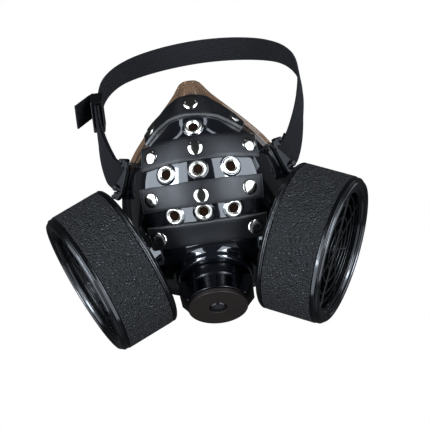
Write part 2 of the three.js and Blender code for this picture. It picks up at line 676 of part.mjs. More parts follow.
function valveCage() {
  const ring = COLLAR_RADIUS - GAP;
  let cage = rodZ(COLLAR_RADIUS, CAGE_BASE, WINDOW_BASE, 20);
  cage = cage.add(rodZ(VALVE_BORE - HOLE_GAP, 0, CAGE_BASE + 1, 14));
  cage = cage.add(rodZ(DRUM_RADIUS, CAGE_BASE, CAGE_TOP, 12));
  cage = cage.add(rodZ(ring, CAGE_TOP - CAGE_RING_HEIGHT, CAGE_TOP, 20));
  for (let i = 0; i < CAGE_POSTS; i++) {
    const post = new THREE.BoxGeometry(POST_WIDTH, CAGE_WALL, WINDOW_HEIGHT + 2 * CAGE_RING_HEIGHT);
    post.translate(0, ring - 0.6 * CAGE_WALL, WINDOW_BASE + WINDOW_HEIGHT / 2);
    cage = cage.add(solidOf(post.rotateZ((i * 2 * Math.PI) / CAGE_POSTS)));
  }
  return cage.add(lug(1)).add(lug(-1));
}

function valveCap() {
  const edge = 0.15 * CAP_THICKNESS;
  const top = CAP_BASE + CAP_THICKNESS;
  return turned(
    [
      [0, CAP_BASE], [CAP_RADIUS - edge, CAP_BASE], [CAP_RADIUS, CAP_BASE + edge], [CAP_RADIUS, top - edge],
      [CAP_RADIUS - edge, top], [BUTTON_RECESS, top], [BUTTON_RECESS, top - BUTTON_DEPTH],
      [0, top - BUTTON_DEPTH],
    ],
    20,
  );
}

function valveButton() {
  const base = CAP_BASE + CAP_THICKNESS - BUTTON_DEPTH + GAP;
  return turned(
    [
      [0, base], [BUTTON_RADIUS, base], [BUTTON_RADIUS, base + 0.35 * BUTTON_DEPTH],
      [0.7 * BUTTON_RADIUS, base + 0.35 * BUTTON_DEPTH + 0.6 * BUTTON_DOME],
      [0, base + 0.35 * BUTTON_DEPTH + BUTTON_DOME],
    ],
    14,
  );
}

// The shell with its boss, sockets, bores, slots, rivet holes and the blind seats of the eyelets

function faceShell() {
  const bare = shellSkins();
  const boss = rodZ(BOSS_RADIUS, -0.4 * BOSS_RADIUS, BOSS_HEIGHT, 20);
  const bossInside = rodZ(BOSS_RADIUS - 1.3 * SHELL_WALL, -BOSS_RADIUS, BOSS_HEIGHT - SHELL_WALL, 16);
  let shell = bare.add(moved(boss, valveFrame)).subtract(moved(bossInside, valveFrame));
  shell = shell.subtract(moved(rodZ(VALVE_BORE, 0, 2 * BOSS_HEIGHT, 16), valveFrame));
  for (const side of [1, -1]) {
    const frame = canisterFrame(side);
    const bore = NECK_RADIUS + HOLE_GAP;
    const inside = -CANISTER_STAND_OFF - 1.5 * SHELL_WALL;
    shell = shell.add(moved(rodZ(bore + SOCKET_WALL, inside, -GAP, 14), frame));
    shell = shell.subtract(moved(rodZ(bore, 2 * inside, CANISTER_STAND_OFF, 14), frame));
    shell = shell.subtract(slotCutter(side));
  }
  for (const { frame } of rivetFrames) {
    const hole = rodZ(RIVET_SHANK / 2 + HOLE_GAP, -DRILL_REACH, DRILL_REACH / 2, 6);
    shell = shell.subtract(moved(hole, frame));
  }
  for (const { frame } of eyeletFrames) {
    const seat = rodZ(EYELET_BARREL / 2 + 1.5 * HOLE_GAP, -EYELET_DEPTH - HOLE_GAP, 2 * EYELET_ROLL, 10);
    shell = shell.subtract(moved(seat, frame));
  }
  return shell;
}

// Buckles. A buckle's frame has x away from the mask along the strap, y up along the rim and z out

function slotFrame(side) {
  const point = skinPoint(SLOT.row, SLOT.t);
  const normal = skinNormal(SLOT.row, SLOT.t);
  return side > 0 ? frameAt(point, normal) : frameAt(mirrorX(point), mirrorX(normal));
}

function slotCutter(side) {
  const hole = new THREE.CylinderGeometry(SLOT.width / 2, SLOT.width / 2, 10, 12).rotateX(Math.PI / 2);
  hole.scale(1, SLOT.height / SLOT.width, 1);
  return moved(solidOf(hole), slotFrame(side));
}

const buckleTip = onLine("rim", BUCKLE_ROWS.upper);
const buckleDown = onLine("rim", BUCKLE_ROWS.lower).sub(buckleTip).normalize();
const buckleFace = skinNormal((BUCKLE_ROWS.upper + BUCKLE_ROWS.lower) / 2, 4.5);
buckleFace.addScaledVector(buckleDown, -buckleFace.dot(buckleDown)).normalize();
const buckleFrame = new THREE.Matrix4()
  .makeBasis(buckleFace.clone().cross(buckleDown), buckleDown.clone().negate(), buckleFace)
  .setPosition(buckleTip);
const buckleHeight = onLine("rim", BUCKLE_ROWS.lower).distanceTo(buckleTip);

const barCentre = {
  x: STRAP_BAR_OUT,
  y: -buckleHeight / 2,
  z: BUCKLE_LIFT - 2 * GAP - STRAP_BAR_RADIUS - STRAP_THICKNESS,
};

// A round rod through points
function rod(points, radius, sides, steps) {
  const path = new THREE.CatmullRomCurve3(points);
  const section = new THREE.Shape(
    Array.from({ length: sides }, (_, i) => {
      const angle = (i * 2 * Math.PI) / sides;
      return new THREE.Vector2(radius * Math.cos(angle), radius * Math.sin(angle));
    }),
  );
  return solidOf(new THREE.ExtrudeGeometry(section, { steps, extrudePath: path, bevelEnabled: false }));
}

function buckleSolid() {
  const outline = new THREE.Shape(
    BUCKLE_OUTLINE.map(({ out, down }) => new THREE.Vector2(out * BUCKLE_REACH, -down * buckleHeight)),
  );
  const plate = new THREE.ExtrudeGeometry(outline, { depth: BUCKLE_THICKNESS, bevelEnabled: false });
  let buckle = solidOf(plate.translate(0, 0, BUCKLE_LIFT));
  const barReach = STRAP_WIDTH / 2 + STRAP_SIDE_PLAY + STRAP_BAR_RADIUS;
  for (const end of [1, -1]) {
    const y = barCentre.y + end * barReach;
    const back = barCentre.z - STRAP_BAR_RADIUS;
    const height = BUCKLE_LIFT + BUCKLE_THICKNESS - back;
    const post = 2 * STRAP_BAR_RADIUS;
    buckle = buckle.add(block(post, post, height, barCentre.x, y, back + height / 2));
    const armStart = 1;
    const armLength = barCentre.x + STRAP_BAR_RADIUS - armStart;
    const armHeight = 0.7 * BUCKLE_THICKNESS;
    buckle = buckle.add(
      block(armLength, post, armHeight, armStart + armLength / 2, y, BUCKLE_LIFT + armHeight / 2),
    );
  }
  const bar = new THREE.CylinderGeometry(STRAP_BAR_RADIUS, STRAP_BAR_RADIUS, 2 * barReach, 6);
  buckle = buckle.add(solidOf(bar.translate(barCentre.x, barCentre.y, barCentre.z)));
  const pinY = -PIN_DROP * buckleHeight;
  const pinZ = BUCKLE_LIFT + BUCKLE_THICKNESS / 2;
  const pin = new THREE.CylinderGeometry(PIN_RADIUS, PIN_RADIUS, PIN_OUT + 1, 6).rotateZ(Math.PI / 2);
  buckle = buckle.add(solidOf(pin.translate((PIN_OUT - 1) / 2, pinY, pinZ)));
  const knob = new THREE.SphereGeometry(PIN_KNOB, 6, 4);
  buckle = buckle.add(solidOf(knob.translate(PIN_OUT, pinY, pinZ)));
  return buckle.add(buckleLink());
}

// The link from the buckle's straight bar over the flange into the shell's slot
function buckleLink() {
  const toBuckle = buckleFrame.clone().invert();
  const slot = slotFrame(1);
  const inSlot = (height) => vec(0, 0, height).applyMatrix4(slot).applyMatrix4(toBuckle);
  const start = vec(-1, -LINK_DROP * buckleHeight, BUCKLE_LIFT + BUCKLE_THICKNESS / 2);
  const over = inSlot(SHELL_WALL + LINK_RADIUS + 2 * GAP);
  return rod([start, start.clone().lerp(over, 0.55), over, inSlot(0.5), inSlot(-SHELL_WALL)], LINK_RADIUS, 6, 5);
}

// Head strap

const barPoint = vec(barCentre.x, barCentre.y, barCentre.z).applyMatrix4(buckleFrame);
const LOOP_RADIUS = STRAP_BAR_RADIUS + GAP + STRAP_THICKNESS / 2;
const LAYER = STRAP_THICKNESS + GAP;
const strapUpAtBar = buckleDown.clone().negate();
const strapStart = barPoint.clone().addScaledVector(buckleFace, LOOP_RADIUS);
const routeRows = STRAP_ROUTE.map((row) => ({
  point: vec(row.x * STRAP_HALF_SPAN, row.y * STRAP_REACH, barPoint.z + row.z * STRAP_RISE),
  up: vec(...row.up).normalize(),
}));
// It leaves the bar in the buckle's plane
const strapLead = routeRows[0].point.clone().sub(strapStart);
strapLead.addScaledVector(buckleFace, -strapLead.dot(buckleFace)).setLength(STRAP_STRAIGHT);
const strapRows = [
  { point: strapStart, up: strapUpAtBar },
  { point: strapStart.clone().add(strapLead), up: strapUpAtBar },
  ...routeRows,
];
// The middle line runs on past the back, so that it is level there
const beyond = strapRows.at(-2);
const strapCurve = new THREE.CatmullRomCurve3(
  [...strapRows.map((row) => row.point), mirrorX(beyond.point)], false, "centripetal",
);
const STRAP_SPANS = strapRows.length;
strapCurve.arcLengthDivisions = 100 * STRAP_SPANS;
const halfStrapLength = strapCurve.getLengths()[100 * (STRAP_SPANS - 1)];

// The strap's place at a share s of the way from the buckle to the back: point, width direction and face
function strapAt(s) {
  const share = strapCurve.getUtoTmapping(0, s * halfStrapLength);
  const place = share * STRAP_SPANS;
  const row = clamp(Math.floor(place), 0, strapRows.length - 2);
  const up = strapRows[row].up.clone().lerp(strapRows[row + 1].up, place - row);
  const point = strapCurve.getPoint(share);
  const along = strapCurve.getTangent(share);
  up.addScaledVector(along, -up.dot(along) * layerClose(s)).normalize();
  return { point, up, along, face: along.clone().cross(up).normalize() };
}

const strapRing = (point, up, face) =>
  [[-1, -1], [1, -1], [1, 1], [-1, 1]].map(([u, f]) =>
    point.clone().addScaledVector(up, (u * STRAP_WIDTH) / 2).addScaledVector(face, (f * STRAP_THICKNESS) / 2),
  );

// A station of the strap moved off the middle line towards its face, its own face turned or not
function strapStation(s, offset, turn) {
  const { point, up, face } = strapAt(s);
  return strapRing(point.addScaledVector(face, offset), up, face.clone().multiplyScalar(turn));
}

// 0 beside the bar, where the layers stand a loop apart, and 1 where they lie on each other
const layerClose = (s) => THREE.MathUtils.smoothstep(s * halfStrapLength, 0, LAYER_JOIN);

// The strap's turn round the buckle's bar, from the angle where it meets one layer to the other's
function barLoop(turn) {
  const steps = 8;
  const across = buckleFace.clone().cross(buckleDown);
  return Array.from({ length: steps - 1 }, (_, i) => {
    const angle = Math.PI * (1.5 - (i + 1) / steps);
    const radial = across.clone().multiplyScalar(Math.cos(angle));
    radial.addScaledVector(buckleFace, Math.sin(angle));
    const point = barPoint.clone().addScaledVector(radial, LOOP_RADIUS);
    return strapRing(point, strapUpAtBar, radial.clone().multiplyScalar(turn));
  });
}

const stepsTo = (from, to, count) => Array.from({ length: count + 1 }, (_, i) => lerp(from, to, i / count));

// The free end: through the slider, round its far edge and back over it
const sliderReach = (SLIDER_LENGTH / 2 + 1.5) / halfStrapLength;

function freeEnd() {
  const { point, up, along, face } = strapAt(SLIDER_PLACE + sliderReach);
  const centre = point.addScaledVector(face, LAYER + FLAP_TURN);
  const radialAt = (angle) =>
    along.clone().multiplyScalar(Math.sin(angle)).addScaledVector(face, -Math.cos(angle));
  const last = degrees(FLAP_ANGLE);
  const turn = stepsTo(0, last, 6).slice(1).map((angle) => {
    const radial = radialAt(angle);
    return strapRing(centre.clone().addScaledVector(radial, FLAP_TURN), up, radial);
  });
  const radial = radialAt(last);
  const away = along.clone().multiplyScalar(Math.cos(last)).addScaledVector(face, Math.sin(last));
  const end = centre.clone().addScaledVector(radial, FLAP_TURN).addScaledVector(away, FLAP_LENGTH);
  return [...turn, strapRing(end, up, radial)];
}

function headStrap() {
  const tailEnd = STRAP_TAIL / halfStrapLength;
  const tailOffset = (s) => -lerp(2 * LOOP_RADIUS, LAYER, layerClose(s));
  const left = [
    ...stepsTo(tailEnd, 0, 5).map((s) => strapStation(s, tailOffset(s), -1)),
    ...barLoop(1),
    ...stepsTo(0, 1, STRAP_STEPS).map((s) => strapStation(s, 0, 1)),
  ];
  const innerOffset = (s) => -2 * LOOP_RADIUS * (1 - layerClose(s));
  const right = [
    ...stepsTo(1, 0, STRAP_STEPS).slice(1).map((s) => strapStation(s, innerOffset(s), 1)),
    ...barLoop(-1),
    ...stepsTo(0, SLIDER_PLACE + sliderReach, 14).map((s) => strapStation(s, LAYER * layerClose(s), -1)),
    ...freeEnd(),
  ];
  return loft([...left, ...right.map((ring) => ring.map(mirrorX))]);
}

function sliderFrame() {
  const { point, up, along, face } = strapAt(SLIDER_PLACE);
  return new THREE.Matrix4().makeBasis(along, up, face.clone()).setPosition(point.addScaledVector(face, LAYER / 2));
}

function strapSlider() {
  const windowWidth = STRAP_WIDTH + 2 * SLIDER_GAP;
  const windowHeight = STRAP_THICKNESS + LAYER + 2 * SLIDER_GAP;
  const height = windowHeight + 1.6 * SLIDER_WALL;
  let slider = block(SLIDER_LENGTH, SLIDER_WIDTH, height, 0, 0, 0);
  slider = slider.subtract(block(2 * SLIDER_LENGTH, windowWidth, windowHeight, 0, 0, 0));
  for (const side of [1, -1]) {
    const slotLength = SLIDER_LENGTH / 2 - 1.5 * SLIDER_WALL;
    const x = side * (SLIDER_WALL / 2 + slotLength / 2);
    slider = slider.subtract(block(slotLength, windowWidth, height, x, 0, height / 2));
  }
  return slider;
}

// Assembly

const mask = new THREE.Group();
const rightSide = new THREE.Group();
rightSide.scale.x = -1;
mask.add(rightSide);

const shell = faceShell();
mask.add(meshOf("face_shell", shell, "shell"));

for (const name of STRIP_NAMES) {
  let strip = stripSolid(name);
  for (const rivet of rivetFrames.filter((item) => item.strip === name)) {
    const depth = depthBehind(shell, rivet.frame, RIVET_BACK_CAP / 2);
    const seat = heightOver(strip, rivet.frame, RIVET_CAP / 2);
    const hole = rodZ(RIVET_SHANK / 2 + 1.5 * HOLE_GAP, -DRILL_REACH, DRILL_REACH, 6);
    strip = strip.subtract(moved(hole, rivet.frame));
    mask.add(place(meshOf(rivet.name, rivetSolid(depth, seat), "nickel"), rivet.frame));
  }
  for (const { frame } of eyeletFrames) {
    const notch = rodZ(EYELET_FLANGE / 2 + HOLE_GAP, -EYELET_ROLL, 3 * STRIP_THICKNESS, 12);
    strip = strip.subtract(moved(notch, frame));
  }
  mask.add(meshOf(name + "_strip", strip, "leather"));
}
for (const { name, frame } of eyeletFrames) {
  mask.add(place(meshOf(name, eyeletSolid(), "nickel"), frame));
}

for (const [side, sign] of [["left", 1], ["right", -1]]) {
  const canister = new THREE.Group();
  canister.add(
    meshOf("canister_" + side, canisterBody(), "plastic"),
    meshOf("leather_band_" + side, leatherBand(), "pebbled"),
    meshOf("front_rim_" + side, frontRim(), "plastic"),
    meshOf("grille_" + side, grille(), "plastic"),
  );
  mask.add(place(canister, canisterFrame(sign)));
}

const valve = new THREE.Group();
valve.add(
  meshOf("valve_cage", valveCage(), "plastic"),
  meshOf("valve_cap", valveCap(), "cap"),
  meshOf("valve_button", valveButton(), "plastic"),
);
mask.add(place(valve, valveFrame));

const buckle = buckleSolid();
mask.add(place(meshOf("buckle_left", buckle, "buckle"), buckleFrame));
rightSide.add(place(meshOf("buckle_right", buckle, "buckle"), buckleFrame));

mask.add(meshOf("head_strap", headStrap(), "elastic"));
rightSide.add(place(meshOf("strap_slider", strapSlider(), "plastic"), sliderFrame()));

export default mask;
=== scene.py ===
# Looks of a costume half mask in the style of an old gas mask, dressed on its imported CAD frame.
# Sizes are in millimetres until a mesh is made. +Z is up, the front faces -Y, +X is the wearer's left.
import math

import bmesh
import bpy
import numpy as np
from mathutils import Matrix, Vector
from mathutils.bvhtree import BVHTree

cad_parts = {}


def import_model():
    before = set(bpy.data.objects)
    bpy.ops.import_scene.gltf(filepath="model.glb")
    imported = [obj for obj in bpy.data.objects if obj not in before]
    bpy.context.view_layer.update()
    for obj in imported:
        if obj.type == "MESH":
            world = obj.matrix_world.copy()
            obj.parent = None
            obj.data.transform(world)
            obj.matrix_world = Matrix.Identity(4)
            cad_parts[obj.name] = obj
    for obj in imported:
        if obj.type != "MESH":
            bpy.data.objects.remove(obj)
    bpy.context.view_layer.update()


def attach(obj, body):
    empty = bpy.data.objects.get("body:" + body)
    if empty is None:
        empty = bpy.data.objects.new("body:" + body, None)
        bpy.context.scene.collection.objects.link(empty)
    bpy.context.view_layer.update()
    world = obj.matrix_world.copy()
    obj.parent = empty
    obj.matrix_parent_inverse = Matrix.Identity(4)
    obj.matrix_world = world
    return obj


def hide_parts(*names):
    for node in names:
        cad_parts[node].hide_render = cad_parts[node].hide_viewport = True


MM = 0.001

# Camera, fitted to the photograph: where it looks, from where, and how wide
CAMERA_TARGET = (0.0, -20.0, -10.0)
CAMERA_DISTANCE = 950.0
CAMERA_AZIMUTH = 3.0
CAMERA_ELEVATION = -2.26
CAMERA_ROLL = 7.71
FOCAL_PIXELS = 1681.0
IMAGE_PIXELS = 430.0
TARGET_PIXEL = (205.5, 202.3)
SENSOR_WIDTH = 36.0

# Lights, in degrees and metres: azimuth from the front, distance, height of the middle, width and height,
# radiance. Two large softboxes leave a dark gap round the camera, each has a brighter core, and small ones
# above and at the right side give the streaks by the top eyelet and the grey of the side wing.
SOFTBOX_COLOUR = (0.9, 0.98, 1.08)
SOFTBOXES = {
    "left": (-50, 1.3, -0.4, (1.62, 3.1), 2.9),
    "right": (50, 1.3, -0.4, (1.62, 3.1), 2.9),
    "core_left": (-38, 1.22, 0.1, (0.3, 1.0), 16.0),
    "core_right": (38, 1.22, 0.1, (0.3, 1.0), 16.0),
    "streak_left": (-62, 0.62, 1.15, (0.13, 0.45), 2.2),
    "streak_right": (56, 0.62, 1.3, (0.13, 0.5), 2.2),
    "wing_right": (110, 1.4, 0.55, (1.3, 0.5), 0.9),
}
WORLD_COLOUR = (0.9, 0.95, 1.0)
WORLD_STRENGTH = 0.06
VIEW_GAMMA = 0.82

# Floor, in metres: it fades out between two distances from its middle
FLOOR_RADIUS = 2.5
FLOOR_FADE = (0.5, 1.2)
FLOOR_DROP = 1.95

# Face shell, as in the part's source
SHELL_HALF_WIDTH = 50.0
SHELL_DEPTH = 54.0
SHELL_HEIGHT = 121.5
SHELL_BELOW_ORIGIN = 63.0
SHELL_WALL = 2.0
FLANGE_WALL = 1.2
PANEL_EDGE_ROUND = 3.5
FLANGE_ROOT_ROUND = 3.0

# Where the shell is see-through: near its rim and high up, each from one distance or height to another. The
# top starts lower away from the middle, by the slope.
SMOKE_BAND = (2.4, 4.6)
SMOKE_HEIGHTS = (12, 20)
SMOKE_TOP = (49.5, 52.5)
SMOKE_SLOPE = 0.35
SMOKE_RIM_POINTS = 400

# Fineness of the shell's mesh, and the slot that holds a buckle's link
SECTION_STEPS = (14, 10, 12, 8, 6)
STEPS_A_ROW = 12
ROW_SEARCH_STEPS = 26
SLOT = {"row": 4.72, "t": 2.78, "width": 4.6, "height": 3.8}

# Rays that find the shell: start in front of or behind it, step past a hit, most hits, and how deep behind
# the skin a hit counts as the wall's inner side
PROBE_REACH = 200.0
PROBE_BEHIND = 30.0
PROBE_STEP = 0.02
PROBE_HITS = 8
WALL_NEAREST = 0.3
WALL_DEEPEST = 12.0

# Leather strips. Their cut edges wander in two waves, each with its size, waves and share of the seed.
STRIP_WIDTH = 13.2
STRIP_THICKNESS = 1.6
STRIP_SEAT = 0.2
STRIP_HALF_LENGTHS = {"nose": 27.5, "upper": 31.5, "middle": 33.0, "lower": 32.0}
STRIP_SHIFTS = {"nose": -1.4, "upper": 1.2, "middle": 0.0, "lower": 0.6}
STRIP_HEIGHTS = {"nose": 43.5, "upper": 19.0, "middle": -5.7, "lower": -27.1}
STRIP_DROPS = {"nose": 14.2, "upper": 2.8, "middle": 0.2, "lower": -0.3}
STRIP_EDGE_ROUND = 0.35
STRIP_END_ROUND = 0.3
STRIP_SWELL = 0.15
STRIP_STEPS = 88
STRIP_WAVES = ((0.12, 9, 1), (0.07, 23, 2))

# Rivets: distance of the end rivets from the middle, and of the middle one below the strip's middle line
RIVET_RADIUS = 4.2
RIVET_RIM = 0.45
RIVET_LIFT = 0.12
RIVET_EDGE_TILT = 36.0
RIVET_SHANK = 1.5
RIVET_DOME_SHARES = (1, 0.98, 0.95, 0.9, 0.85, 0.8, 0.73, 0.65, 0.55, 0.42, 0.28, 0.14, 0)
RIVET_BACK_RADIUS = 3.1
RIVET_BACK_HEIGHT = 0.9
RIVET_PLACES = {
    "nose": {"left": 21.0, "right": -23.9, "low": -0.5},
    "upper": {"left": 28.2, "right": -24.4, "low": 0.3},
    "middle": {"left": 25.8, "right": -27.0, "low": 1.5},
    "lower": {"left": 26.0, "right": -26.0},
}

# Eyelets
EYELET_RADIUS = 5.1
EYELET_BORE = 2.65
EYELET_ROLL = 1.4
EYELET_DEPTH = 0.7
EYELET_TOP_HEIGHT = 31.0
EYELET_ROWS = {
    "upper": {"height": 7.4, "spacing": 17.9, "drop": 0.6},
    "lower": {"height": -16.1, "spacing": 16.4, "drop": 0.2},
}

# Canisters
CANISTER_RADIUS = 42.2
CANISTER_LENGTH = 31.8
CANISTER_SIDES = 160
CANISTER_STAND_OFF = 7.6
CANISTER_SEAT = {"row": 9.0, "t": 2.5}
CANISTER_FORWARD = 14.0
CANISTER_DOWN = 23.8
CANISTER_WALL = 2.0
GAP = 0.35
BACK_RING_HEIGHT = 3.4
BAND_THICKNESS = 1.6
FRONT_RIM_HEIGHT = 4.2

# Profiles of the canister: its back ring, in from its radius and up, the front rim's outer wall, in and up
# from its foot, and its lip, in and down from its top
BACK_RING_PROFILE = (
    (2.0, 0), (0.7, 0.8), (0, 1.8), (0, 2.25), (0.55, 2.45), (0.55, 2.8), (0.1, 3.0), (0.1, BACK_RING_HEIGHT),
)
FRONT_RIM_WALL = ((0, 0), (0, 2.1), (0.9, 2.6))
FRONT_RIM_LIP = ((1.0, 1.0), (1.8, 0), (3.7, 0), (4.1, 0.8), (6.4, 1.0), (6.9, 2.4))

# Recess, grille, neck and socket
RECESS_RADIUS = 33.2
GRILLE_DEPTH = 6.5
GRILLE_THICKNESS = 1.6
GRILLE_RING_RADII = (0.1, 0.27, 0.44, 0.61, 0.73)
GRILLE_RING_WIDTH = 1.2
GRILLE_RIBS = 8
GRILLE_RIB_WIDTH = 1.1
GRILLE_BAR_WIDTH = 3.6
GRILLE_BAR_RISE = 0.12
NECK_RADIUS = 8.5
NECK_BORE = 6.3
NECK_LENGTH = 12.0
SOCKET_BORE = 8.8
SOCKET_RADIUS = 11.3
SOCKET_FILLET = 2.0

# Exhale valve
VALVE_ROW = 11.0
VALVE_TILT = 33.0
BOSS_RADIUS = 22.0
BOSS_HEIGHT = 3.2
BOSS_FILLET = 3.0
BOSS_ROUND = 2.2
BOSS_INSIDE = 19.4
BOSS_WALL = 2.0
VALVE_BORE = 13.0
VALVE_SIDES = 120
COLLAR_RADIUS = 17.5
COLLAR_HEIGHT = 7.4
WINDOW_HEIGHT = 7.4
CAGE_RING_HEIGHT = 1.0
CAGE_RING_WIDTH = 2.4
CAGE_POSTS = 8
CAGE_POST_WIDTH = 2.4
CAGE_POST_DEPTH = 2.6
DRUM_RADIUS = 11.5
CAP_RADIUS = 16.7
CAP_THICKNESS = 2.8
BUTTON_RADIUS = 4.6
BUTTON_RECESS = 5.0
BUTTON_DEPTH = 1.4
BUTTON_DOME = 1.2
LUG_REACH = 20.4
LUG_WIDTH = 15.0

# Buckles
BUCKLE_ROWS = {"upper": 4.25, "lower": 6.1}
BUCKLE_THICKNESS = 2.6
BUCKLE_LIFT = 1.1
BUCKLE_REACH = 4.9
STRAP_BAR_RADIUS = 1.1
STRAP_BAR_OUT = 5.0
STRAP_SIDE_PLAY = 1.8
PIN_RADIUS = 1.0
PIN_KNOB = 1.9
PIN_OUT = 5.2
PIN_DROP = 0.725
LINK_RADIUS = 0.9
LINK_DROP = 0.2

# Head strap and its slider
STRAP_WIDTH = 16.0
STRAP_THICKNESS = 1.4
STRAP_RIBS = 11
STRAP_EDGE = 1.1
STRAP_GROOVE = 0.05
STRAP_HALF_SPAN = 63.5
STRAP_REACH = 165.0
STRAP_RISE = 88.0
STRAP_STRAIGHT = 5.0
STRAP_TAIL = 15.0
STRAP_TAIL_STEPS = 8
STRAP_STATION = 2.2
LAYER_JOIN = 12.0
SLIDER_WIDTH = 21.0
SLIDER_LENGTH = 14.0
SLIDER_WALL = 2.0
SLIDER_GAP = 0.45
SLIDER_PLACE = 0.4
FLAP_LENGTH = 16.0
FLAP_TURN = 2.3
FLAP_ANGLE = 150.0
FLAP_FOLD_STEPS = 15
FLAP_STEPS = 9

# Sections of the face shell from the nose down to the chin: ridge, edge, wall, root and rim of each row, as
# shares of the half width, of the depth and of the height above the chin
SHELL_ROWS = (
    ((0, -0.5, 1), (0.052, -0.492, 0.999), (0.076, -0.482, 0.997),
     (0.096, -0.468, 0.994), (0.116, -0.452, 0.991)),
    ((0, -0.6, 0.934), (0.1, -0.585, 0.932), (0.14, -0.535, 0.931),
     (0.178, -0.452, 0.931), (0.222, -0.396, 0.937)),
    ((0, -0.693, 0.87), (0.18, -0.646, 0.868), (0.252, -0.53, 0.866),
     (0.326, -0.368, 0.866), (0.386, -0.3, 0.872)),
    ((0, -0.79, 0.798), (0.29, -0.706, 0.79), (0.392, -0.51, 0.79),
     (0.51, -0.245, 0.788), (0.58, -0.178, 0.795)),
    ((0, -0.895, 0.72), (0.47, -0.744, 0.716), (0.57, -0.488, 0.715),
     (0.7, -0.135, 0.704), (0.774, -0.075, 0.705)),
    ((0, -0.952, 0.629), (0.58, -0.772, 0.634), (0.696, -0.492, 0.629),
     (0.83, -0.06, 0.617), (0.906, 0, 0.612)),
    ((0, -0.991, 0.531), (0.64, -0.787, 0.543), (0.756, -0.5, 0.535),
     (0.9, -0.019, 0.518), (0.976, 0.046, 0.514)),
    ((0, -0.981, 0.44), (0.62, -0.796, 0.452), (0.76, -0.509, 0.436),
     (0.92, 0.009, 0.403), (0.996, 0.083, 0.395)),
    ((0, -0.926, 0.366), (0.58, -0.787, 0.37), (0.736, -0.5, 0.35),
     (0.89, 0.028, 0.292), (0.96, 0.102, 0.272)),
    ((0, -0.833, 0.292), (0.51, -0.75, 0.296), (0.68, -0.472, 0.263),
     (0.81, 0.019, 0.189), (0.87, 0.093, 0.16)),
    ((0, -0.715, 0.2), (0.42, -0.662, 0.206), (0.59, -0.398, 0.176),
     (0.69, 0, 0.107), (0.736, 0.074, 0.079)),
    ((0, -0.42, 0.1), (0.32, -0.42, 0.107), (0.46, -0.278, 0.095),
     (0.53, -0.037, 0.062), (0.56, 0.037, 0.035)),
    ((0, -0.222, 0.046), (0.21, -0.226, 0.048), (0.3, -0.163, 0.044),
     (0.35, -0.074, 0.037), (0.372, -0.009, 0.012)),
    ((0, -0.065, 0.002), (0.09, -0.063, 0.003), (0.13, -0.057, 0.003),
     (0.16, -0.052, 0.004), (0.186, -0.044, 0.003)),
)
RIDGE, EDGE, WALL, ROOT, RIM = range(5)

# The strap's middle line from a buckle to the back of the head, as shares of its half span, reach and rise,
# with the direction of its upper edge
STRAP_ROUTE = (
    ((0.845, 0.085, 0.09), (-0.3, -0.25, 0.92)),
    ((0.905, 0.17, 0.21), (-0.22, -0.38, 0.9)),
    ((0.955, 0.29, 0.355), (-0.1, -0.46, 0.88)),
    ((0.995, 0.46, 0.545), (-0.05, -0.5, 0.86)),
    ((0.965, 0.645, 0.735), (-0.1, -0.48, 0.87)),
    ((0.78, 0.835, 0.885), (-0.22, -0.4, 0.89)),
    ((0.43, 0.957, 0.97), (-0.15, -0.36, 0.93)),
    ((0, 1, 1), (0, -0.34, 0.94)),
)

# The strap's section, each row with a share of half its thickness and with how pale it is, the paleness being
# painted shade, darkest in the grooves between ribs: from its edge in millimetres, and across one rib in
# shares of the rib
STRAP_EDGE_POINTS = ((0, 0.35, 0.8), (0.25, 0.8, 0.9), (0.8, 1.0, 1.0))
STRAP_RIB_POINTS = (
    (0.14, 0.86, 0.75), (0.34, 1.0, 1.0), (0.66, 1.0, 1.0), (0.86, 0.86, 0.75), (1.0, 0.66, 0.0),
)

# A buckle's outline from its upper tip: share of its reach along the strap, share of its height down the rim
BUCKLE_OUTLINE = (
    (-0.39, 0.094), (-0.16, 0), (0.24, 0.009), (0.53, 0.071), (0.69, 0.156), (0.55, 0.189), (0.35, 0.17),
    (0.12, 0.132), (0.04, 0.198), (0.88, 0.627), (0.33, 0.623), (-0.04, 0.67), (-0.08, 0.75), (0.16, 0.821),
    (0.57, 0.83), (0.94, 0.802), (1, 0.906), (0.16, 1), (-0.39, 0.811),
)

RIGHT_TO_LEFT = np.array([-1.0, 1.0, 1.0])


# Small tools


def unit(vectors):
    vectors = np.asarray(vectors, float)
    return vectors / np.linalg.norm(vectors, axis=-1, keepdims=True)


def paired(a, b):
    """Both as arrays of one shape."""
    return np.broadcast_arrays(np.asarray(a, float), np.asarray(b, float))


def lerp(a, b, share):
    return a + (b - a) * share


def smoothstep(value, low, high):
    share = np.clip((value - low) / (high - low), 0, 1)
    return share * share * (3 - 2 * share)


def bend(a, b, c, s):
    """A point on the curve from a to c that is pulled to b."""
    return (1 - s) ** 2 * a + 2 * s * (1 - s) * b + s * s * c


def spline(points, places, centripetal=False):
    """Points of a Catmull-Rom curve at places counted in its control points."""
    points = np.asarray(points, float)
    ends = np.vstack([2 * points[0] - points[1], points, 2 * points[-1] - points[-2]])
    places = np.clip(np.asarray(places, float), 0, len(points) - 1)
    start = np.minimum(places.astype(int), len(points) - 2)
    w = (places - start)[..., None]
    p0, p1, p2, p3 = (ends[start + k] for k in range(4))
    if centripetal:
        d0, d1, d2 = (
            np.sqrt(np.linalg.norm(b - a, axis=-1, keepdims=True)) for a, b in ((p0, p1), (p1, p2), (p2, p3))
        )
        t1 = ((p1 - p0) / d0 - (p2 - p0) / (d0 + d1) + (p2 - p1) / d1) * d1
        t2 = ((p2 - p1) / d1 - (p3 - p1) / (d1 + d2) + (p3 - p2) / d2) * d1
    else:
        t1 = 0.5 * (p2 - p0)
        t2 = 0.5 * (p3 - p1)
    return p1 + w * (t1 + w * ((3 * (p2 - p1) - 2 * t1 - t2) + w * (2 * (p1 - p2) + t1 + t2)))


def frame_of(x, y, z, origin):
    """A 4x4 frame from its axes and its origin."""
    frame = np.eye(4)
    frame[:3] = np.stack([x, y, z, origin], axis=1)
    return frame


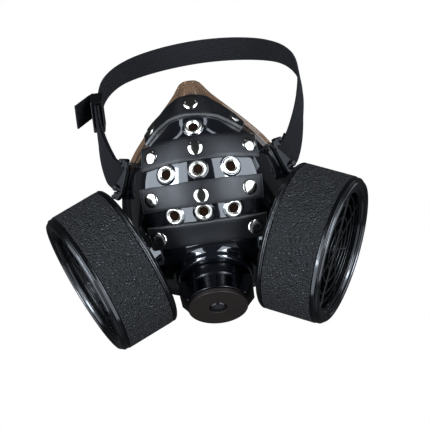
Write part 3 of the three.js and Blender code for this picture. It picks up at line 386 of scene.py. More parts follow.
def frame_at(point, out, up=(0, 0, 1)):
    """A frame at a point whose z axis is out and whose y axis leans to up."""
    z = unit(out)
    x = unit(np.cross(up, z))
    return frame_of(x, np.cross(z, x), z, point)


def moved(points, frame):
    return np.asarray(points, float) @ frame[:3, :3].T + frame[:3, 3]


def to_local(points, frame):
    return (np.asarray(points, float) - frame[:3, 3]) @ frame[:3, :3]


def joined(*parts):
    """One list of points and one of faces from several (points, faces) pairs."""
    points = []
    faces = []
    for part_points, part_faces in parts:
        first = sum(len(p) for p in points)
        points.append(np.asarray(part_points, float))
        faces.extend([tuple(first + i for i in face) for face in part_faces])
    return np.vstack(points), faces


def placed(part, frame):
    return moved(part[0], frame), part[1]


def turned(part, angle):
    """A part turned about its z axis."""
    turn = np.eye(4)
    turn[:2, :2] = [[math.cos(angle), -math.sin(angle)], [math.sin(angle), math.cos(angle)]]
    return placed(part, turn)


def mirrored(part):
    return part[0] * RIGHT_TO_LEFT, [face[::-1] for face in part[1]]


def new_object(name, data):
    obj = bpy.data.objects.new(name, data)
    bpy.context.scene.collection.objects.link(obj)
    return obj


def piece(name, part, sharp=38.0, weighted=True):
    """A Blender object from points in millimetres and faces, smooth except at sharp edges."""
    points, faces = part
    mesh = bpy.data.meshes.new(name)
    mesh.from_pydata((np.asarray(points) * MM).tolist(), [], faces)
    made = bmesh.new()
    made.from_mesh(mesh)
    bmesh.ops.remove_doubles(made, verts=made.verts, dist=1e-7)
    bmesh.ops.recalc_face_normals(made, faces=made.faces)
    made.to_mesh(mesh)
    made.free()
    smooth(mesh, sharp)
    obj = new_object(name, mesh)
    if weighted:
        modifier = obj.modifiers.new("normals", "WEIGHTED_NORMAL")
        modifier.keep_sharp = True
    return obj


def smooth(mesh, sharp):
    mesh.shade_smooth()
    mesh.set_sharp_from_angle(angle=math.radians(sharp))


def dress(obj, material, slot, *nodes):
    """Gives a piece its material and its place in the frame."""
    obj.data.materials.clear()
    obj.data.materials.append(material)
    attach(obj, "root")
    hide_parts(*nodes)
    return obj


def grid_faces(rows, columns, wrap_rows=False, wrap_columns=False):
    faces = []
    for r in range(rows if wrap_rows else rows - 1):
        for c in range(columns if wrap_columns else columns - 1):
            below = (r + 1) % rows
            beside = (c + 1) % columns
            near = r * columns
            far = below * columns
            faces.append((near + c, far + c, far + beside, near + beside))
    return faces


def rounded(outline, radius, steps=4, closed=True):
    """A polyline with rounded corners. A corner on the axis and the ends of an open line stay as they are."""
    outline = [np.asarray(p, float) for p in outline]
    count = len(outline)
    made = []
    for i, corner in enumerate(outline):
        before = outline[i - 1]
        after = outline[(i + 1) % count]
        at_end = not closed and i in (0, count - 1)
        if at_end or abs(corner[0]) < 1e-9:
            made.append(corner)
            continue
        to_before = before - corner
        to_after = after - corner
        cut = min(radius, 0.45 * np.linalg.norm(to_before), 0.45 * np.linalg.norm(to_after))
        start = corner + cut * unit(to_before)
        end = corner + cut * unit(to_after)
        made.extend(bend(start, corner, end, s / steps) for s in range(steps + 1))
    return np.array(made)


def circle(sides):
    """Even angles round a whole turn."""
    return np.linspace(0, 2 * np.pi, sides, endpoint=False)


def spun(profile, angle):
    """The points of (radius, height) rows at an angle, or at each of a column of angles."""
    radius, height = profile[:, 0], profile[:, 1]
    return np.stack([radius * np.cos(angle), radius * np.sin(angle), height + 0 * angle], axis=-1)


def lathe(profile, sides=96):
    """A ring or round body about +Z from a closed profile of (radius, height) rows."""
    profile = np.asarray(profile, float)
    points = spun(profile, circle(sides)[:, None])
    return points.reshape(-1, 3), grid_faces(sides, len(profile), True, True)


def ring_outline(inner, outer, low, high):
    """The four-point profile of a ring, or of a disc where inner is 0."""
    return [(inner, low), (outer, low), (outer, high), (inner, high)]


def soft_lathe(outline, radius, steps, sides):
    """A round body from a profile whose corners are rounded."""
    return lathe(rounded(outline, radius, steps), sides)


def from_bmesh(made):
    made.verts.ensure_lookup_table()
    points = np.array([v.co[:] for v in made.verts])
    faces = [tuple(v.index for v in face.verts) for face in made.faces]
    made.free()
    return points, faces


def soft_box(size, centre, bevel=0.3, segments=2):
    """A box with rounded edges."""
    made = bmesh.new()
    bmesh.ops.create_cube(made, size=1.0, matrix=Matrix.Diagonal((*size, 1.0)))
    bmesh.ops.bevel(made, geom=made.edges[:], offset=bevel, segments=segments, profile=0.5, affect="EDGES")
    made.verts.index_update()
    points, faces = from_bmesh(made)
    return points + np.asarray(centre, float), faces


def soft_plate(outline, low, high, bevel=0.4, segments=3):
    """A plate from a flat outline of (x, y) points between two heights, with rounded edges."""
    made = bmesh.new()
    ring = [made.verts.new((x, y, low)) for x, y in outline]
    base = made.faces.new(ring)
    grown = bmesh.ops.extrude_face_region(made, geom=[base])
    top = [item for item in grown["geom"] if isinstance(item, bmesh.types.BMVert)]
    bmesh.ops.translate(made, verts=top, vec=(0, 0, high - low))
    bmesh.ops.recalc_face_normals(made, faces=made.faces)
    rims = [edge for edge in made.edges if abs(edge.verts[0].co.z - edge.verts[1].co.z) < 1e-6]
    bmesh.ops.bevel(made, geom=rims, offset=bevel, segments=segments, profile=0.5, affect="EDGES")
    made.verts.index_update()
    return from_bmesh(made)


def loft(rings, caps=True):
    """A closed body from rings of points, each as long as the next."""
    rings = np.asarray(rings, float)
    count, width = rings.shape[:2]
    faces = grid_faces(count, width, wrap_columns=True)
    if caps:
        faces.append(tuple(range(width))[::-1])
        faces.append(tuple((count - 1) * width + i for i in range(width)))
    return rings.reshape(-1, 3), faces


def tube(points, radius, sides=14, steps=40):
    """A round rod through points."""
    places = np.linspace(0, len(points) - 1, steps + 1)
    path = spline(points, places, centripetal=True)
    along = unit(np.gradient(path, axis=0))
    side = unit(np.cross(along[0], (0.3, 0.5, 0.81)))
    rings = []
    for point, direction in zip(path, along):
        side = unit(side - direction * side.dot(direction))
        other = np.cross(direction, side)
        angles = circle(sides)[:, None]
        rings.append(point + radius * (np.cos(angles) * side + np.sin(angles) * other))
    return loft(rings)


def surface_finder(part):
    """A tree of a part's faces, for ray casts in millimetres."""
    points, faces = part
    return BVHTree.FromPolygons([Vector(p) for p in points], faces)


def cut_away(obj, part):
    """Cuts a closed body out of an object's mesh."""
    tool = piece("cutter", part, weighted=False)
    modifier = obj.modifiers.new("cut", "BOOLEAN")
    modifier.operation = "DIFFERENCE"
    modifier.solver = "EXACT"
    modifier.object = tool
    result = obj.evaluated_get(bpy.context.evaluated_depsgraph_get())
    mesh = bpy.data.meshes.new_from_object(result)
    obj.modifiers.remove(modifier)
    obj.data = mesh
    bpy.data.objects.remove(tool)


# Face shell surfaces

SHELL_LINES = np.array(SHELL_ROWS, float) * [SHELL_HALF_WIDTH, SHELL_DEPTH, SHELL_HEIGHT]
SHELL_LINES[..., 2] -= SHELL_BELOW_ORIGIN
LAST_ROW = len(SHELL_ROWS) - 1


def on_line(column, rows):
    return spline(SHELL_LINES[:, column], rows)


def distance(a, b):
    return np.linalg.norm(a - b, axis=-1, keepdims=True)


def skin(rows, ts):
    """Points of the outer skin: t is 0 on the ridge, 1 at the panel's edge, 3 at the flange, 5 at the rim."""
    rows, ts = paired(rows, ts)
    ridge, edge, wall, root, rim = (on_line(column, rows) for column in (RIDGE, EDGE, WALL, ROOT, RIM))
    crown = np.stack([edge[..., 0] / 2, ridge[..., 1], (ridge[..., 2] + edge[..., 2]) / 2], axis=-1)
    belly = 2 * wall - (edge + root) / 2
    panel_share = np.clip(PANEL_EDGE_ROUND / distance(ridge, edge), 0, 0.35)
    wall_length = distance(edge, root)
    wall_start = np.clip(PANEL_EDGE_ROUND / wall_length, 0, 0.3)
    wall_end = 1 - np.clip(FLANGE_ROOT_ROUND / wall_length, 0, 0.3)
    flange_start = np.clip(FLANGE_ROOT_ROUND / distance(root, rim), 0, 0.4)
    t = ts[..., None]
    panel = bend(ridge, crown, edge, t * (1 - panel_share))
    panel_end = bend(ridge, crown, edge, 1 - panel_share)
    corner = bend(panel_end, edge, bend(edge, belly, root, wall_start), t - 1)
    side = bend(edge, belly, root, lerp(wall_start, wall_end, t - 2))
    fold = bend(bend(edge, belly, root, wall_end), root, lerp(root, rim, flange_start), t - 3)
    flange = lerp(root, rim, lerp(flange_start, 1, t - 4))
    parts = [panel, corner, side, fold]
    return np.select([t <= 1, t <= 2, t <= 3, t <= 4], parts, flange)


def skin_normal(rows, ts):
    step = 0.02
    rows, ts = paired(rows, ts)
    down = skin(np.minimum(rows + step, LAST_ROW), ts) - skin(np.maximum(rows - step, 0), ts)
    across = skin(rows, np.minimum(ts + step, 5)) - skin(rows, np.maximum(ts - step, 0))
    across[ts < step] = (1, 0, 0)
    return unit(np.cross(down, across))


def panel_y(x, z):
    """The front panel's crowned surface, carried on straight past the panel's edge."""
    x, z = paired(x, z)
    above = np.zeros(x.shape)
    below = np.full(x.shape, float(LAST_ROW))
    for _ in range(ROW_SEARCH_STEPS):
        row = (above + below) / 2
        ridge = on_line(RIDGE, row)
        edge = on_line(EDGE, row)
        share = np.abs(x) / edge[..., 0]
        higher = lerp(ridge[..., 2], edge[..., 2], share) > z
        above = np.where(higher, row, above)
        below = np.where(higher, below, row)
    crown = np.where(share < 1, share * share, 2 * share - 1)
    return lerp(ridge[..., 1], edge[..., 1], crown)


def cover_y(x, z):
    """The skin's y at a place as seen from the front."""
    x, z = paired(x, z)
    found = np.empty(x.shape)
    for index in np.ndindex(x.shape):
        hit = OUTER_SKIN.ray_cast(Vector((x[index], -PROBE_REACH, z[index])), Vector((0, 1, 0)))[0]
        found[index] = hit.y if hit else np.nan
    return found


def surface_at(surface, x, z):
    """Points and outward normals on a surface y(x, z)."""
    step = 0.4
    slope_x = (surface(x + step, z) - surface(x - step, z)) / (2 * step)
    slope_z = (surface(x, z + step) - surface(x, z - step)) / (2 * step)
    normal = unit(np.stack([slope_x, -np.ones_like(slope_x), slope_z], axis=-1))
    y = surface(x, z)
    return np.stack([x + 0 * y, y, z + 0 * y], axis=-1), normal


def section_samples():
    """Places across one half of the shell, close together where it bends."""
    spans = [np.linspace(i, i + 1, steps, endpoint=False) for i, steps in enumerate(SECTION_STEPS)]
    return np.concatenate([*spans, [len(SECTION_STEPS)]])


ROWS_FINE = np.linspace(0, LAST_ROW, LAST_ROW * STEPS_A_ROW + 1)


def shell_grid():
    """The outer skin's points and normals over the whole width."""
    half = section_samples()
    rows = ROWS_FINE[:, None]
    points = skin(rows, half[None])
    normals = skin_normal(rows, half[None])
    points = np.concatenate([points[:, :0:-1] * RIGHT_TO_LEFT, points], axis=1)
    normals = np.concatenate([normals[:, :0:-1] * RIGHT_TO_LEFT, normals], axis=1)
    signed = np.concatenate([-half[:0:-1], half])
    return points, normals, signed


def shell_skins():
    """The bare shell: outer and inner skins joined by a round rim."""
    outer, normals, signed = shell_grid()
    past_wall = np.clip(np.abs(signed) - 3, 0, 1)
    wall = np.where(past_wall <= 0, SHELL_WALL, lerp(SHELL_WALL, FLANGE_WALL, past_wall))
    inner = outer - normals * wall[None, :, None]
    rows, columns = outer.shape[:2]
    outward_side = unit(outer[:, -1] - outer[:, -2])
    outward_top = unit(outer[0] - outer[1])
    outward_bottom = unit(outer[-1] - outer[-2])
    loop = [(0, c, outward_top[c]) for c in range(columns)]
    loop += [(r, columns - 1, outward_side[r]) for r in range(1, rows)]
    loop += [(rows - 1, c, outward_bottom[c]) for c in range(columns - 2, -1, -1)]
    loop += [(r, 0, outward_side[r] * RIGHT_TO_LEFT) for r in range(rows - 2, 0, -1)]
    arc = []
    steps = 6
    for r, c, outward in loop:
        centre = (outer[r, c] + inner[r, c]) / 2
        half = (outer[r, c] - inner[r, c]) / 2
        reach = np.linalg.norm(half)
        for k in range(1, steps):
            angle = np.pi * k / steps
            arc.append(centre + half * math.cos(angle) + outward * reach * math.sin(angle))
    count = rows * columns
    faces = grid_faces(rows, columns)
    faces += [tuple(count + i for i in face[::-1]) for face in grid_faces(rows, columns)]

    def at(i, k):
        station = i % len(loop)
        r, c, _ = loop[station]
        if k == 0:
            return r * columns + c
        if k == steps:
            return count + r * columns + c
        return 2 * count + station * (steps - 1) + k - 1

    for i in range(len(loop)):
        for k in range(steps):
            faces.append((at(i, k), at(i, k + 1), at(i + 1, k + 1), at(i + 1, k)))
    points = np.vstack([outer.reshape(-1, 3), inner.reshape(-1, 3), np.array(arc)])
    return points, faces


def outer_skin_part():
    outer, _, _ = shell_grid()
    rows, columns = outer.shape[:2]
    return outer.reshape(-1, 3), grid_faces(rows, columns)


OUTER_SKIN = surface_finder(outer_skin_part())


def skin_height(frame, radius, angle, start, lowest):
    """How high the skin stands in a frame at a radius and angle from its axis."""
    origin = moved((radius * math.cos(angle), radius * math.sin(angle), start), frame)
    hit = OUTER_SKIN.ray_cast(Vector(origin), Vector(-frame[:3, 2]))[0]
    if hit is None:
        return lowest
    return max(to_local(np.array(hit), frame)[2], lowest)


def skirt(frame, radius, fillet, top, inside, start, lowest, sides=VALVE_SIDES):
    """A round wall that grows out of the skin with a fillet. top is its profile from the wall over its inner
    side, and inside the depth of the last point below the skin."""
    rings = []
    for angle in circle(sides):
        base = skin_height(frame, radius, angle, start, lowest)
        foot = skin_height(frame, radius + fillet, angle, start, lowest)
        rise = min(fillet, 0.6 * max(top[0][1] - base, 0.1))
        corner = np.array([radius, base])
        low = np.array([radius + fillet, foot])
        high = np.array([radius, base + rise])
        profile = [bend(low, corner, high, s / 6) for s in range(7)]
        profile += [np.asarray(p, float) for p in top]
        profile += [np.array([top[-1][0], base - inside]), np.array([radius + fillet, foot - inside])]
        rings.append(spun(np.array(profile), angle))
    rings = np.array(rings)
    return moved(rings.reshape(-1, 3), frame), grid_faces(sides, rings.shape[1], True, True)


# Frames of the pieces


def canister_frame(side):
    forward = math.radians(CANISTER_FORWARD)
    down = math.radians(CANISTER_DOWN)
    level = math.cos(forward)
    axis = np.array([level * math.cos(down), -math.sin(forward), -level * math.sin(down)])
    seat = skin(CANISTER_SEAT["row"], CANISTER_SEAT["t"])
    base = seat + axis * CANISTER_STAND_OFF
    sided = np.array([side, 1.0, 1.0])
    return frame_at(base * sided, axis * sided)


def valve_frame():
    tilt = math.radians(VALVE_TILT)
    axis = (0, -math.sin(tilt), -math.cos(tilt))
    return frame_at(on_line(RIDGE, VALVE_ROW), axis, (0, -1, 0))


def slot_frame(side):
    point = skin(SLOT["row"], SLOT["t"])
    normal = skin_normal(SLOT["row"], SLOT["t"])
    sided = np.array([side, 1.0, 1.0])
    return frame_at(point * sided, normal * sided)


def buckle_frame():
    tip = on_line(RIM, BUCKLE_ROWS["upper"])
    low = on_line(RIM, BUCKLE_ROWS["lower"])
    down = unit(low - tip)
    face = skin_normal((BUCKLE_ROWS["upper"] + BUCKLE_ROWS["lower"]) / 2, 4.5)
    face = unit(face - down * face.dot(down))
    return frame_of(np.cross(face, down), -down, face, tip), np.linalg.norm(low - tip)


BUCKLE_FRAME, BUCKLE_HEIGHT = buckle_frame()
BAR_CENTRE = np.array([
    STRAP_BAR_OUT, -BUCKLE_HEIGHT / 2, BUCKLE_LIFT - 2 * GAP - STRAP_BAR_RADIUS - STRAP_THICKNESS,
])


def strip_place(name, x, low=0.0):
    share = (x - STRIP_SHIFTS[name]) / STRIP_HALF_LENGTHS[name]
    surface = cover_y if name == "nose" else panel_y
    return surface_at(surface, x, STRIP_HEIGHTS[name] - STRIP_DROPS[name] * share * share - low)


def rivet_frames():
    frames = {}
    for strip, places in RIVET_PLACES.items():
        for side in ("left", "middle", "right"):
            if side == "middle" and "low" not in places:
                continue
            x = places.get(side, 0.0)
            low = places.get("low", 0.0) if side == "middle" else 0.0
            point, normal = strip_place(strip, np.array(x), low)
            frames["rivet_%s_%s" % (strip, side)] = frame_at(point, normal)
    return frames


def eyelet_frames():
    places = {"eyelet_top": (0.0, EYELET_TOP_HEIGHT)}
    for row, size in EYELET_ROWS.items():
        for side, share in (("left", 1), ("middle", 0), ("right", -1)):
            height = size["height"] - size["drop"] * share * share
            places["eyelet_%s_%s" % (row, side)] = (share * size["spacing"], height)
    frames = {}
    for name, (x, z) in places.items():
        point, normal = surface_at(panel_y, np.array(x), np.array(z))
        frames[name] = frame_at(point, normal)
    return frames


# Materials

PEBBLE_DENSITY = 680.0
GLOSS_BLACK = (0.003, 0.0033, 0.004)
BUTTON_BLACK = (0.006, 0.006, 0.007)

# Darkest and palest tone of the metal and of each satin plastic
NICKEL = ((0.56, 0.54, 0.49), (0.72, 0.7, 0.65))
# Painted shade: dark brown tones of the disc that closes each eyelet's bore
HOLE_SHADE_BROWN = ((0.008, 0.004, 0.002), (0.02, 0.01, 0.006))
CAGE_BLACK = ((0.002, 0.0022, 0.004), (0.004, 0.0045, 0.007))
# The cap's dark tone with a warm brown that is a painted reflection of a wearer's skin below it
CAP_BROWN_AND_SKIN_REFLECTION = ((0.009, 0.0055, 0.0045), (0.017, 0.011, 0.009))
BUCKLE_GREY = ((0.012, 0.0125, 0.014), (0.024, 0.0245, 0.027))


def shader(name, **values):
    """A node material and its principled shader, which gets the given values."""
    material = bpy.data.materials.new(name)
    material.use_nodes = True
    principled = material.node_tree.nodes["Principled BSDF"]
    for key, value in values.items():
        socket = principled.inputs[key.replace("_", " ")]
        socket.default_value = (*value, 1.0) if isinstance(value, tuple) and len(value) == 3 else value
    return material, principled


def add(owner, kind, **values):
    """A node in the tree that owner is in, with its properties and input values set."""
    node = owner.id_data.nodes.new(kind)
    for key, value in values.items():
        if key in node.bl_rna.properties:
            setattr(node, key, value)
        else:
            node.inputs[key.replace("_", " ")].default_value = value
    return node


def link(output, node, socket="Vector"):
    node.id_data.links.new(output, node.inputs[socket])


def coordinates(owner):
    return add(owner, "ShaderNodeTexCoord").outputs["Object"]


def noise(place, scale, detail=4.0, roughness=0.55, distortion=0.0):
    values = {"Scale": scale, "Detail": detail, "Roughness": roughness, "Distortion": distortion}
    node = add(place, "ShaderNodeTexNoise", **values)
    link(place, node)
    return node.outputs["Fac"]


def mapped(value, from_low, from_high, to_low, to_high):
    spans = {"From_Min": from_low, "From_Max": from_high, "To_Min": to_low, "To_Max": to_high}
    node = add(value, "ShaderNodeMapRange", **spans)
    link(value, node, "Value")
    return node.outputs["Result"]


def blend_colours(factor, first, second):
    node = add(factor, "ShaderNodeMix", data_type="RGBA")
    links = node.id_data.links
    for socket, value in (("A", first), ("B", second)):
        target = [s for s in node.inputs if s.name == socket and s.type == "RGBA"][0]
        if isinstance(value, tuple):
            target.default_value = (*value, 1.0)
        else:
            links.new(value, target)
    links.new(factor, [s for s in node.inputs if s.name == "Factor" and s.type == "VALUE"][0])
    return [s for s in node.outputs if s.type == "RGBA"][0]


def math_node(operation, first, second):
    """Arithmetic on a socket and a second socket or number."""
    node = add(first, "ShaderNodeMath", operation=operation)
    link(first, node, 0)
    if isinstance(second, float):
        node.inputs[1].default_value = second
    else:
        link(second, node, 1)
    return node.outputs[0]


def bump(height, principled, depth, strength=1.0, chain=None):
    """Raises the shader's normal by a height. chain is an earlier bump that it adds to."""
    node = add(principled, "ShaderNodeBump", Strength=strength, Distance=depth)
    link(height, node, "Height")
    if chain is not None:
        link(chain, node, "Normal")
    link(node.outputs["Normal"], principled, "Normal")
    return node.outputs["Normal"]


def attribute(owner, name):
    return add(owner, "ShaderNodeAttribute", attribute_name=name).outputs["Fac"]


def glossy_plastic(name, colour, roughness, grain=0.000012):
    """Moulded plastic: nearly even colour, a soft haze in its gloss and a faint unevenness."""
    material, principled = shader(name, Coat_Weight=0.6, Coat_Roughness=0.08, Coat_IOR=1.5)
    place = coordinates(principled)
    cloud = noise(place, 60.0, 5.0)
    dark = tuple(0.75 * c for c in colour)
    tint = blend_colours(cloud, dark, colour)
    link(tint, principled, "Base Color")
    haze = noise(place, 240.0, 6.0, 0.6)
    gloss = mapped(haze, 0.3, 0.7, roughness * 0.75, roughness * 1.3)
    link(gloss, principled, "Roughness")
    ripple = noise(place, 900.0, 3.0)
    bump(ripple, principled, grain, 0.6)
    return material


def shell_plastic():
    """Smoked glossy plastic: black in its thick parts, see-through brown at its thin rim."""
    material, principled = shader("smoked_shell", Coat_Weight=1.0, Coat_Roughness=0.05, Coat_IOR=1.9)
    place = coordinates(principled)
    smoke = attribute(principled, "smoke")
    cloud = noise(place, 40.0, 4.0)
    black = blend_colours(cloud, (0.003, 0.0035, 0.005), (0.007, 0.008, 0.011))
    brown = blend_colours(cloud, (0.17, 0.11, 0.07), (0.28, 0.19, 0.13))
    link(blend_colours(smoke, black, brown), principled, "Base Color")
    link(math_node("MULTIPLY", smoke, 0.75), principled, "Transmission Weight")
    haze = noise(place, 180.0, 6.0, 0.6)
    link(mapped(haze, 0.3, 0.7, 0.05, 0.12), principled, "Roughness")
    wave = noise(place, 55.0, 2.0)
    chain = bump(wave, principled, 0.00012, 0.5)
    fine = noise(place, 700.0, 3.0)
    bump(fine, principled, 0.000008, 0.5, chain)
    return material


def strip_leather():
    """Smooth satin leather with a fine mottled grain and paler cut edges."""
    material, principled = shader("strip_leather", Specular_IOR_Level=0.5)
    place = coordinates(principled)
    mottle = noise(place, 130.0, 6.0, 0.65, 0.6)
    face = blend_colours(mottle, (0.002, 0.002, 0.0025), (0.008, 0.008, 0.0095))
    cut = attribute(principled, "cut_edge")
    link(blend_colours(cut, face, (0.09, 0.088, 0.085)), principled, "Base Color")
    link(mapped(mottle, 0.25, 0.75, 0.36, 0.52), principled, "Roughness")
    grain = add(principled, "ShaderNodeTexVoronoi", feature="DISTANCE_TO_EDGE", Scale=1500.0)
    link(place, grain)
    pores = mapped(grain.outputs["Distance"], 0.0, 0.12, 0.0, 1.0)
    chain = bump(pores, principled, 0.00003, 0.35)
    creases = noise(place, 90.0, 5.0, 0.6, 1.2)
    bump(creases, principled, 0.0002, 0.4, chain)
    return material


def pebbled_leather():
    """Leather pressed with a pebble grain: rounded cells between fine cracks, with painted shade in the
    cracks.
    """
    material, principled = shader("pebbled_leather", Specular_IOR_Level=0.65)
    place = coordinates(principled)
    warp = add(principled, "ShaderNodeTexNoise", Scale=420.0, Detail=2.0)
    link(place, warp)
    centred = add(principled, "ShaderNodeVectorMath", operation="SUBTRACT")
    centred.inputs[1].default_value = (0.5, 0.5, 0.5)
    link(warp.outputs["Color"], centred, 0)
    scaled = add(principled, "ShaderNodeVectorMath", operation="SCALE")
    scaled.inputs["Scale"].default_value = 0.0011
    link(centred.outputs[0], scaled, 0)
    shifted = add(principled, "ShaderNodeVectorMath", operation="ADD")
    link(place, shifted, 0)
    link(scaled.outputs[0], shifted, 1)
    cells = add(principled, "ShaderNodeTexVoronoi", feature="DISTANCE_TO_EDGE", Scale=PEBBLE_DENSITY)
    link(shifted.outputs[0], cells)
    pebble = add(principled, "ShaderNodeTexVoronoi", feature="SMOOTH_F1", Scale=PEBBLE_DENSITY)
    pebble.inputs["Smoothness"].default_value = 0.4
    link(shifted.outputs[0], pebble)
    crack = mapped(cells.outputs["Distance"], 0.0, 0.3, 0.0, 1.0)
    dome = mapped(pebble.outputs["Distance"], 0.0, 0.8, 1.0, 0.0)
    height = math_node("ADD", crack, math_node("MULTIPLY", dome, 0.7))
    cloud = noise(place, 35.0, 4.0)
    face = blend_colours(cloud, (0.003, 0.003, 0.0035), (0.008, 0.008, 0.0095))
    # Painted shade: the cracks between pebbles are coloured nearly black
    painted_crack_shade = blend_colours(crack, (0.001, 0.001, 0.0012), face)
    link(painted_crack_shade, principled, "Base Color")
    link(mapped(crack, 0.0, 1.0, 0.95, 0.27), principled, "Roughness")
    chain = bump(height, principled, 0.0013, 1.0)
    fine = noise(place, 2600.0, 3.0)
    bump(fine, principled, 0.00003, 0.3, chain)
    return material


def clouded(name, tones, cloud, grain, gloss, depth, strength, **values):
    """A material whose colour drifts between two tones, with a grain that also varies its roughness."""
    material, principled = shader(name, **values)
    place = coordinates(principled)
    link(blend_colours(noise(place, *cloud), *tones), principled, "Base Color")
    wear = noise(place, *grain)
    link(mapped(wear, *gloss), principled, "Roughness")
    bump(wear, principled, depth, strength)
    return material


def nickel(name, smoothest, roughest):
    """Nickel with fine wear."""
    gloss = (0.3, 0.75, smoothest, roughest)
    return clouded(name, NICKEL, (220.0, 4.0), (1300.0, 6.0, 0.7), gloss, 0.00001, 0.35, Metallic=1.0)


def satin_plastic(name, tones, roughness, grain_scale, grain, level=0.45):
    """Unpolished moulded plastic with a fine grain."""
    gloss = (0.3, 0.7, roughness - 0.07, roughness + 0.07)
    speckle = (grain_scale, 4.0, 0.6)
    return clouded(name, tones, (90.0, 5.0), speckle, gloss, grain, 0.5, Specular_IOR_Level=level)


def ribbed_elastic():
    """Woven elastic: fine yarns across the ribs that the mesh carries."""
    material, principled = shader(
        "elastic", Specular_IOR_Level=0.3, Sheen_Weight=0.08, Sheen_Roughness=0.4, Sheen_Tint=(0.5, 0.5, 0.55)
    )
    uv = add(principled, "ShaderNodeUVMap", uv_map="weave")
    bands = {"wave_type": "BANDS", "bands_direction": "X"}
    yarn = add(principled, "ShaderNodeTexWave", Scale=0.42, Distortion=1.6, Detail=3.0, **bands)
    link(uv.outputs["UV"], yarn)
    fluff = noise(coordinates(principled), 2200.0, 5.0, 0.7)
    # Painted shade: the grooves between ribs are coloured nearly black, the rib tops paler
    rib = attribute(principled, "rib")
    top = blend_colours(fluff, (0.005, 0.005, 0.006), (0.014, 0.014, 0.016))
    link(blend_colours(rib, (0.001, 0.001, 0.0015), top), principled, "Base Color")
    principled.inputs["Roughness"].default_value = 0.85
    chain = bump(yarn.outputs["Fac"], principled, 0.00012, 0.6)
    bump(fluff, principled, 0.00006, 0.5, chain)
    return material


def studio_floor():
    material, principled = shader("floor", Roughness=0.8, Base_Color=(0.4, 0.4, 0.405))
    place = coordinates(principled)
    length = add(principled, "ShaderNodeVectorMath", operation="LENGTH")
    link(place, length, 0)
    fade = mapped(length.outputs["Value"], *FLOOR_FADE, 0.0, 1.0)
    clear = add(principled, "ShaderNodeBsdfTransparent")
    mix = add(principled, "ShaderNodeMixShader")
    link(fade, mix, 0)
    link(principled.outputs[0], mix, 1)
    link(clear.outputs[0], mix, 2)
    link(mix.outputs[0], material.node_tree.nodes["Material Output"], "Surface")
    return material


# Pieces


def point_attribute(mesh, name, values):
    layer = mesh.attributes.new(name, "FLOAT", "POINT")
    layer.data.foreach_set("value", np.asarray(values, np.float32))


def mesh_points(mesh):
    points = np.empty(len(mesh.vertices) * 3)
    mesh.vertices.foreach_get("co", points)
    return points.reshape(-1, 3) / MM


def smoke_share(points):
    """1 where the shell is thin and see-through: its top above the nose strip and a band along its sides."""
    side = np.abs(points[:, 0])
    rows = np.linspace(0, LAST_ROW, SMOKE_RIM_POINTS)
    rim = on_line(RIM, rows)
    near = np.full(len(points), np.inf)
    for point in rim:
        sideways, forward, upward = side - point[0], points[:, 1] - point[1], points[:, 2] - point[2]
        near = np.minimum(near, np.sqrt(sideways ** 2 + forward ** 2 + upward ** 2))
    band = 1 - smoothstep(near, *SMOKE_BAND)
    upper = smoothstep(points[:, 2], *SMOKE_HEIGHTS)
    apex = smoothstep(points[:, 2] + SMOKE_SLOPE * side, *SMOKE_TOP)
    return np.maximum(band * upper, apex)


# The skin is drawn up a little where an eyelet is pressed in
EYELET_CUSHION = [
    (EYELET_RADIUS - 0.8, -0.6), (EYELET_RADIUS + 1.0, -0.3), (EYELET_RADIUS + 0.85, 0.0),
    (EYELET_RADIUS + 0.6, 0.14), (EYELET_RADIUS + 0.1, 0.6), (EYELET_RADIUS - 0.8, 0.6),
]


def boss_profile():
    """From the valve boss's outer wall over its round edge and its seat to its inner wall."""
    seat = BOSS_HEIGHT - BOSS_WALL
    outside = [(BOSS_RADIUS, -1), (BOSS_RADIUS, BOSS_HEIGHT), (VALVE_BORE, BOSS_HEIGHT)]
    inside = [*outside[1:], (VALVE_BORE, seat), (BOSS_INSIDE, seat), (BOSS_INSIDE, -1)]
    edge = rounded(outside, BOSS_ROUND, 8, closed=False)
    return np.vstack([edge[1:-1], rounded(inside, 0.3, closed=False)[1:]])


def make_shell(material):
    obj = piece("face_shell_body", shell_skins(), weighted=False)
    valve = valve_frame()
    cutters = [placed(lathe(ring_outline(0, BOSS_INSIDE, -30, 8)), valve)]
    lowest = -0.4 * BOSS_RADIUS
    extra = [skirt(valve, BOSS_RADIUS, BOSS_FILLET, boss_profile(), inside=1.0, start=6.0, lowest=lowest)]
    socket = [(SOCKET_RADIUS, -3), (SOCKET_RADIUS, -GAP), (SOCKET_BORE, -GAP), (SOCKET_BORE, -9)]
    socket = rounded(socket, 0.5, closed=False)[1:]
    hole = lathe(ring_outline(0, SLOT["width"] / 2, -6, 5), 40)
    hole[0][:, 1] *= SLOT["height"] / SLOT["width"]
    for side in (1, -1):
        frame = canister_frame(side)
        cutters.append(placed(lathe(ring_outline(0, SOCKET_BORE, -25, 3), 72), frame))
        cutters.append(placed(hole, slot_frame(side)))
        extra.append(
            skirt(frame, SOCKET_RADIUS, SOCKET_FILLET, socket, inside=1.2, start=0.0, lowest=-14.0, sides=96)
        )
    for frame in eyelet_frames().values():
        extra.append(placed(lathe(EYELET_CUSHION, 56), frame))
        cutters.append(placed(lathe(ring_outline(0, EYELET_BORE + GAP, -1.3, 3), 40), frame))
    cut_away(obj, joined(*cutters))
    added = piece("shell_extra", joined(*extra), weighted=False)
    made = bmesh.new()
    made.from_mesh(obj.data)
    made.from_mesh(added.data)
    made.to_mesh(obj.data)
    made.free()
    bpy.data.objects.remove(added)
    smooth(obj.data, 40)
    point_attribute(obj.data, "smoke", smoke_share(mesh_points(obj.data)))
    return dress(obj, material, "smoked_shell", "face_shell")


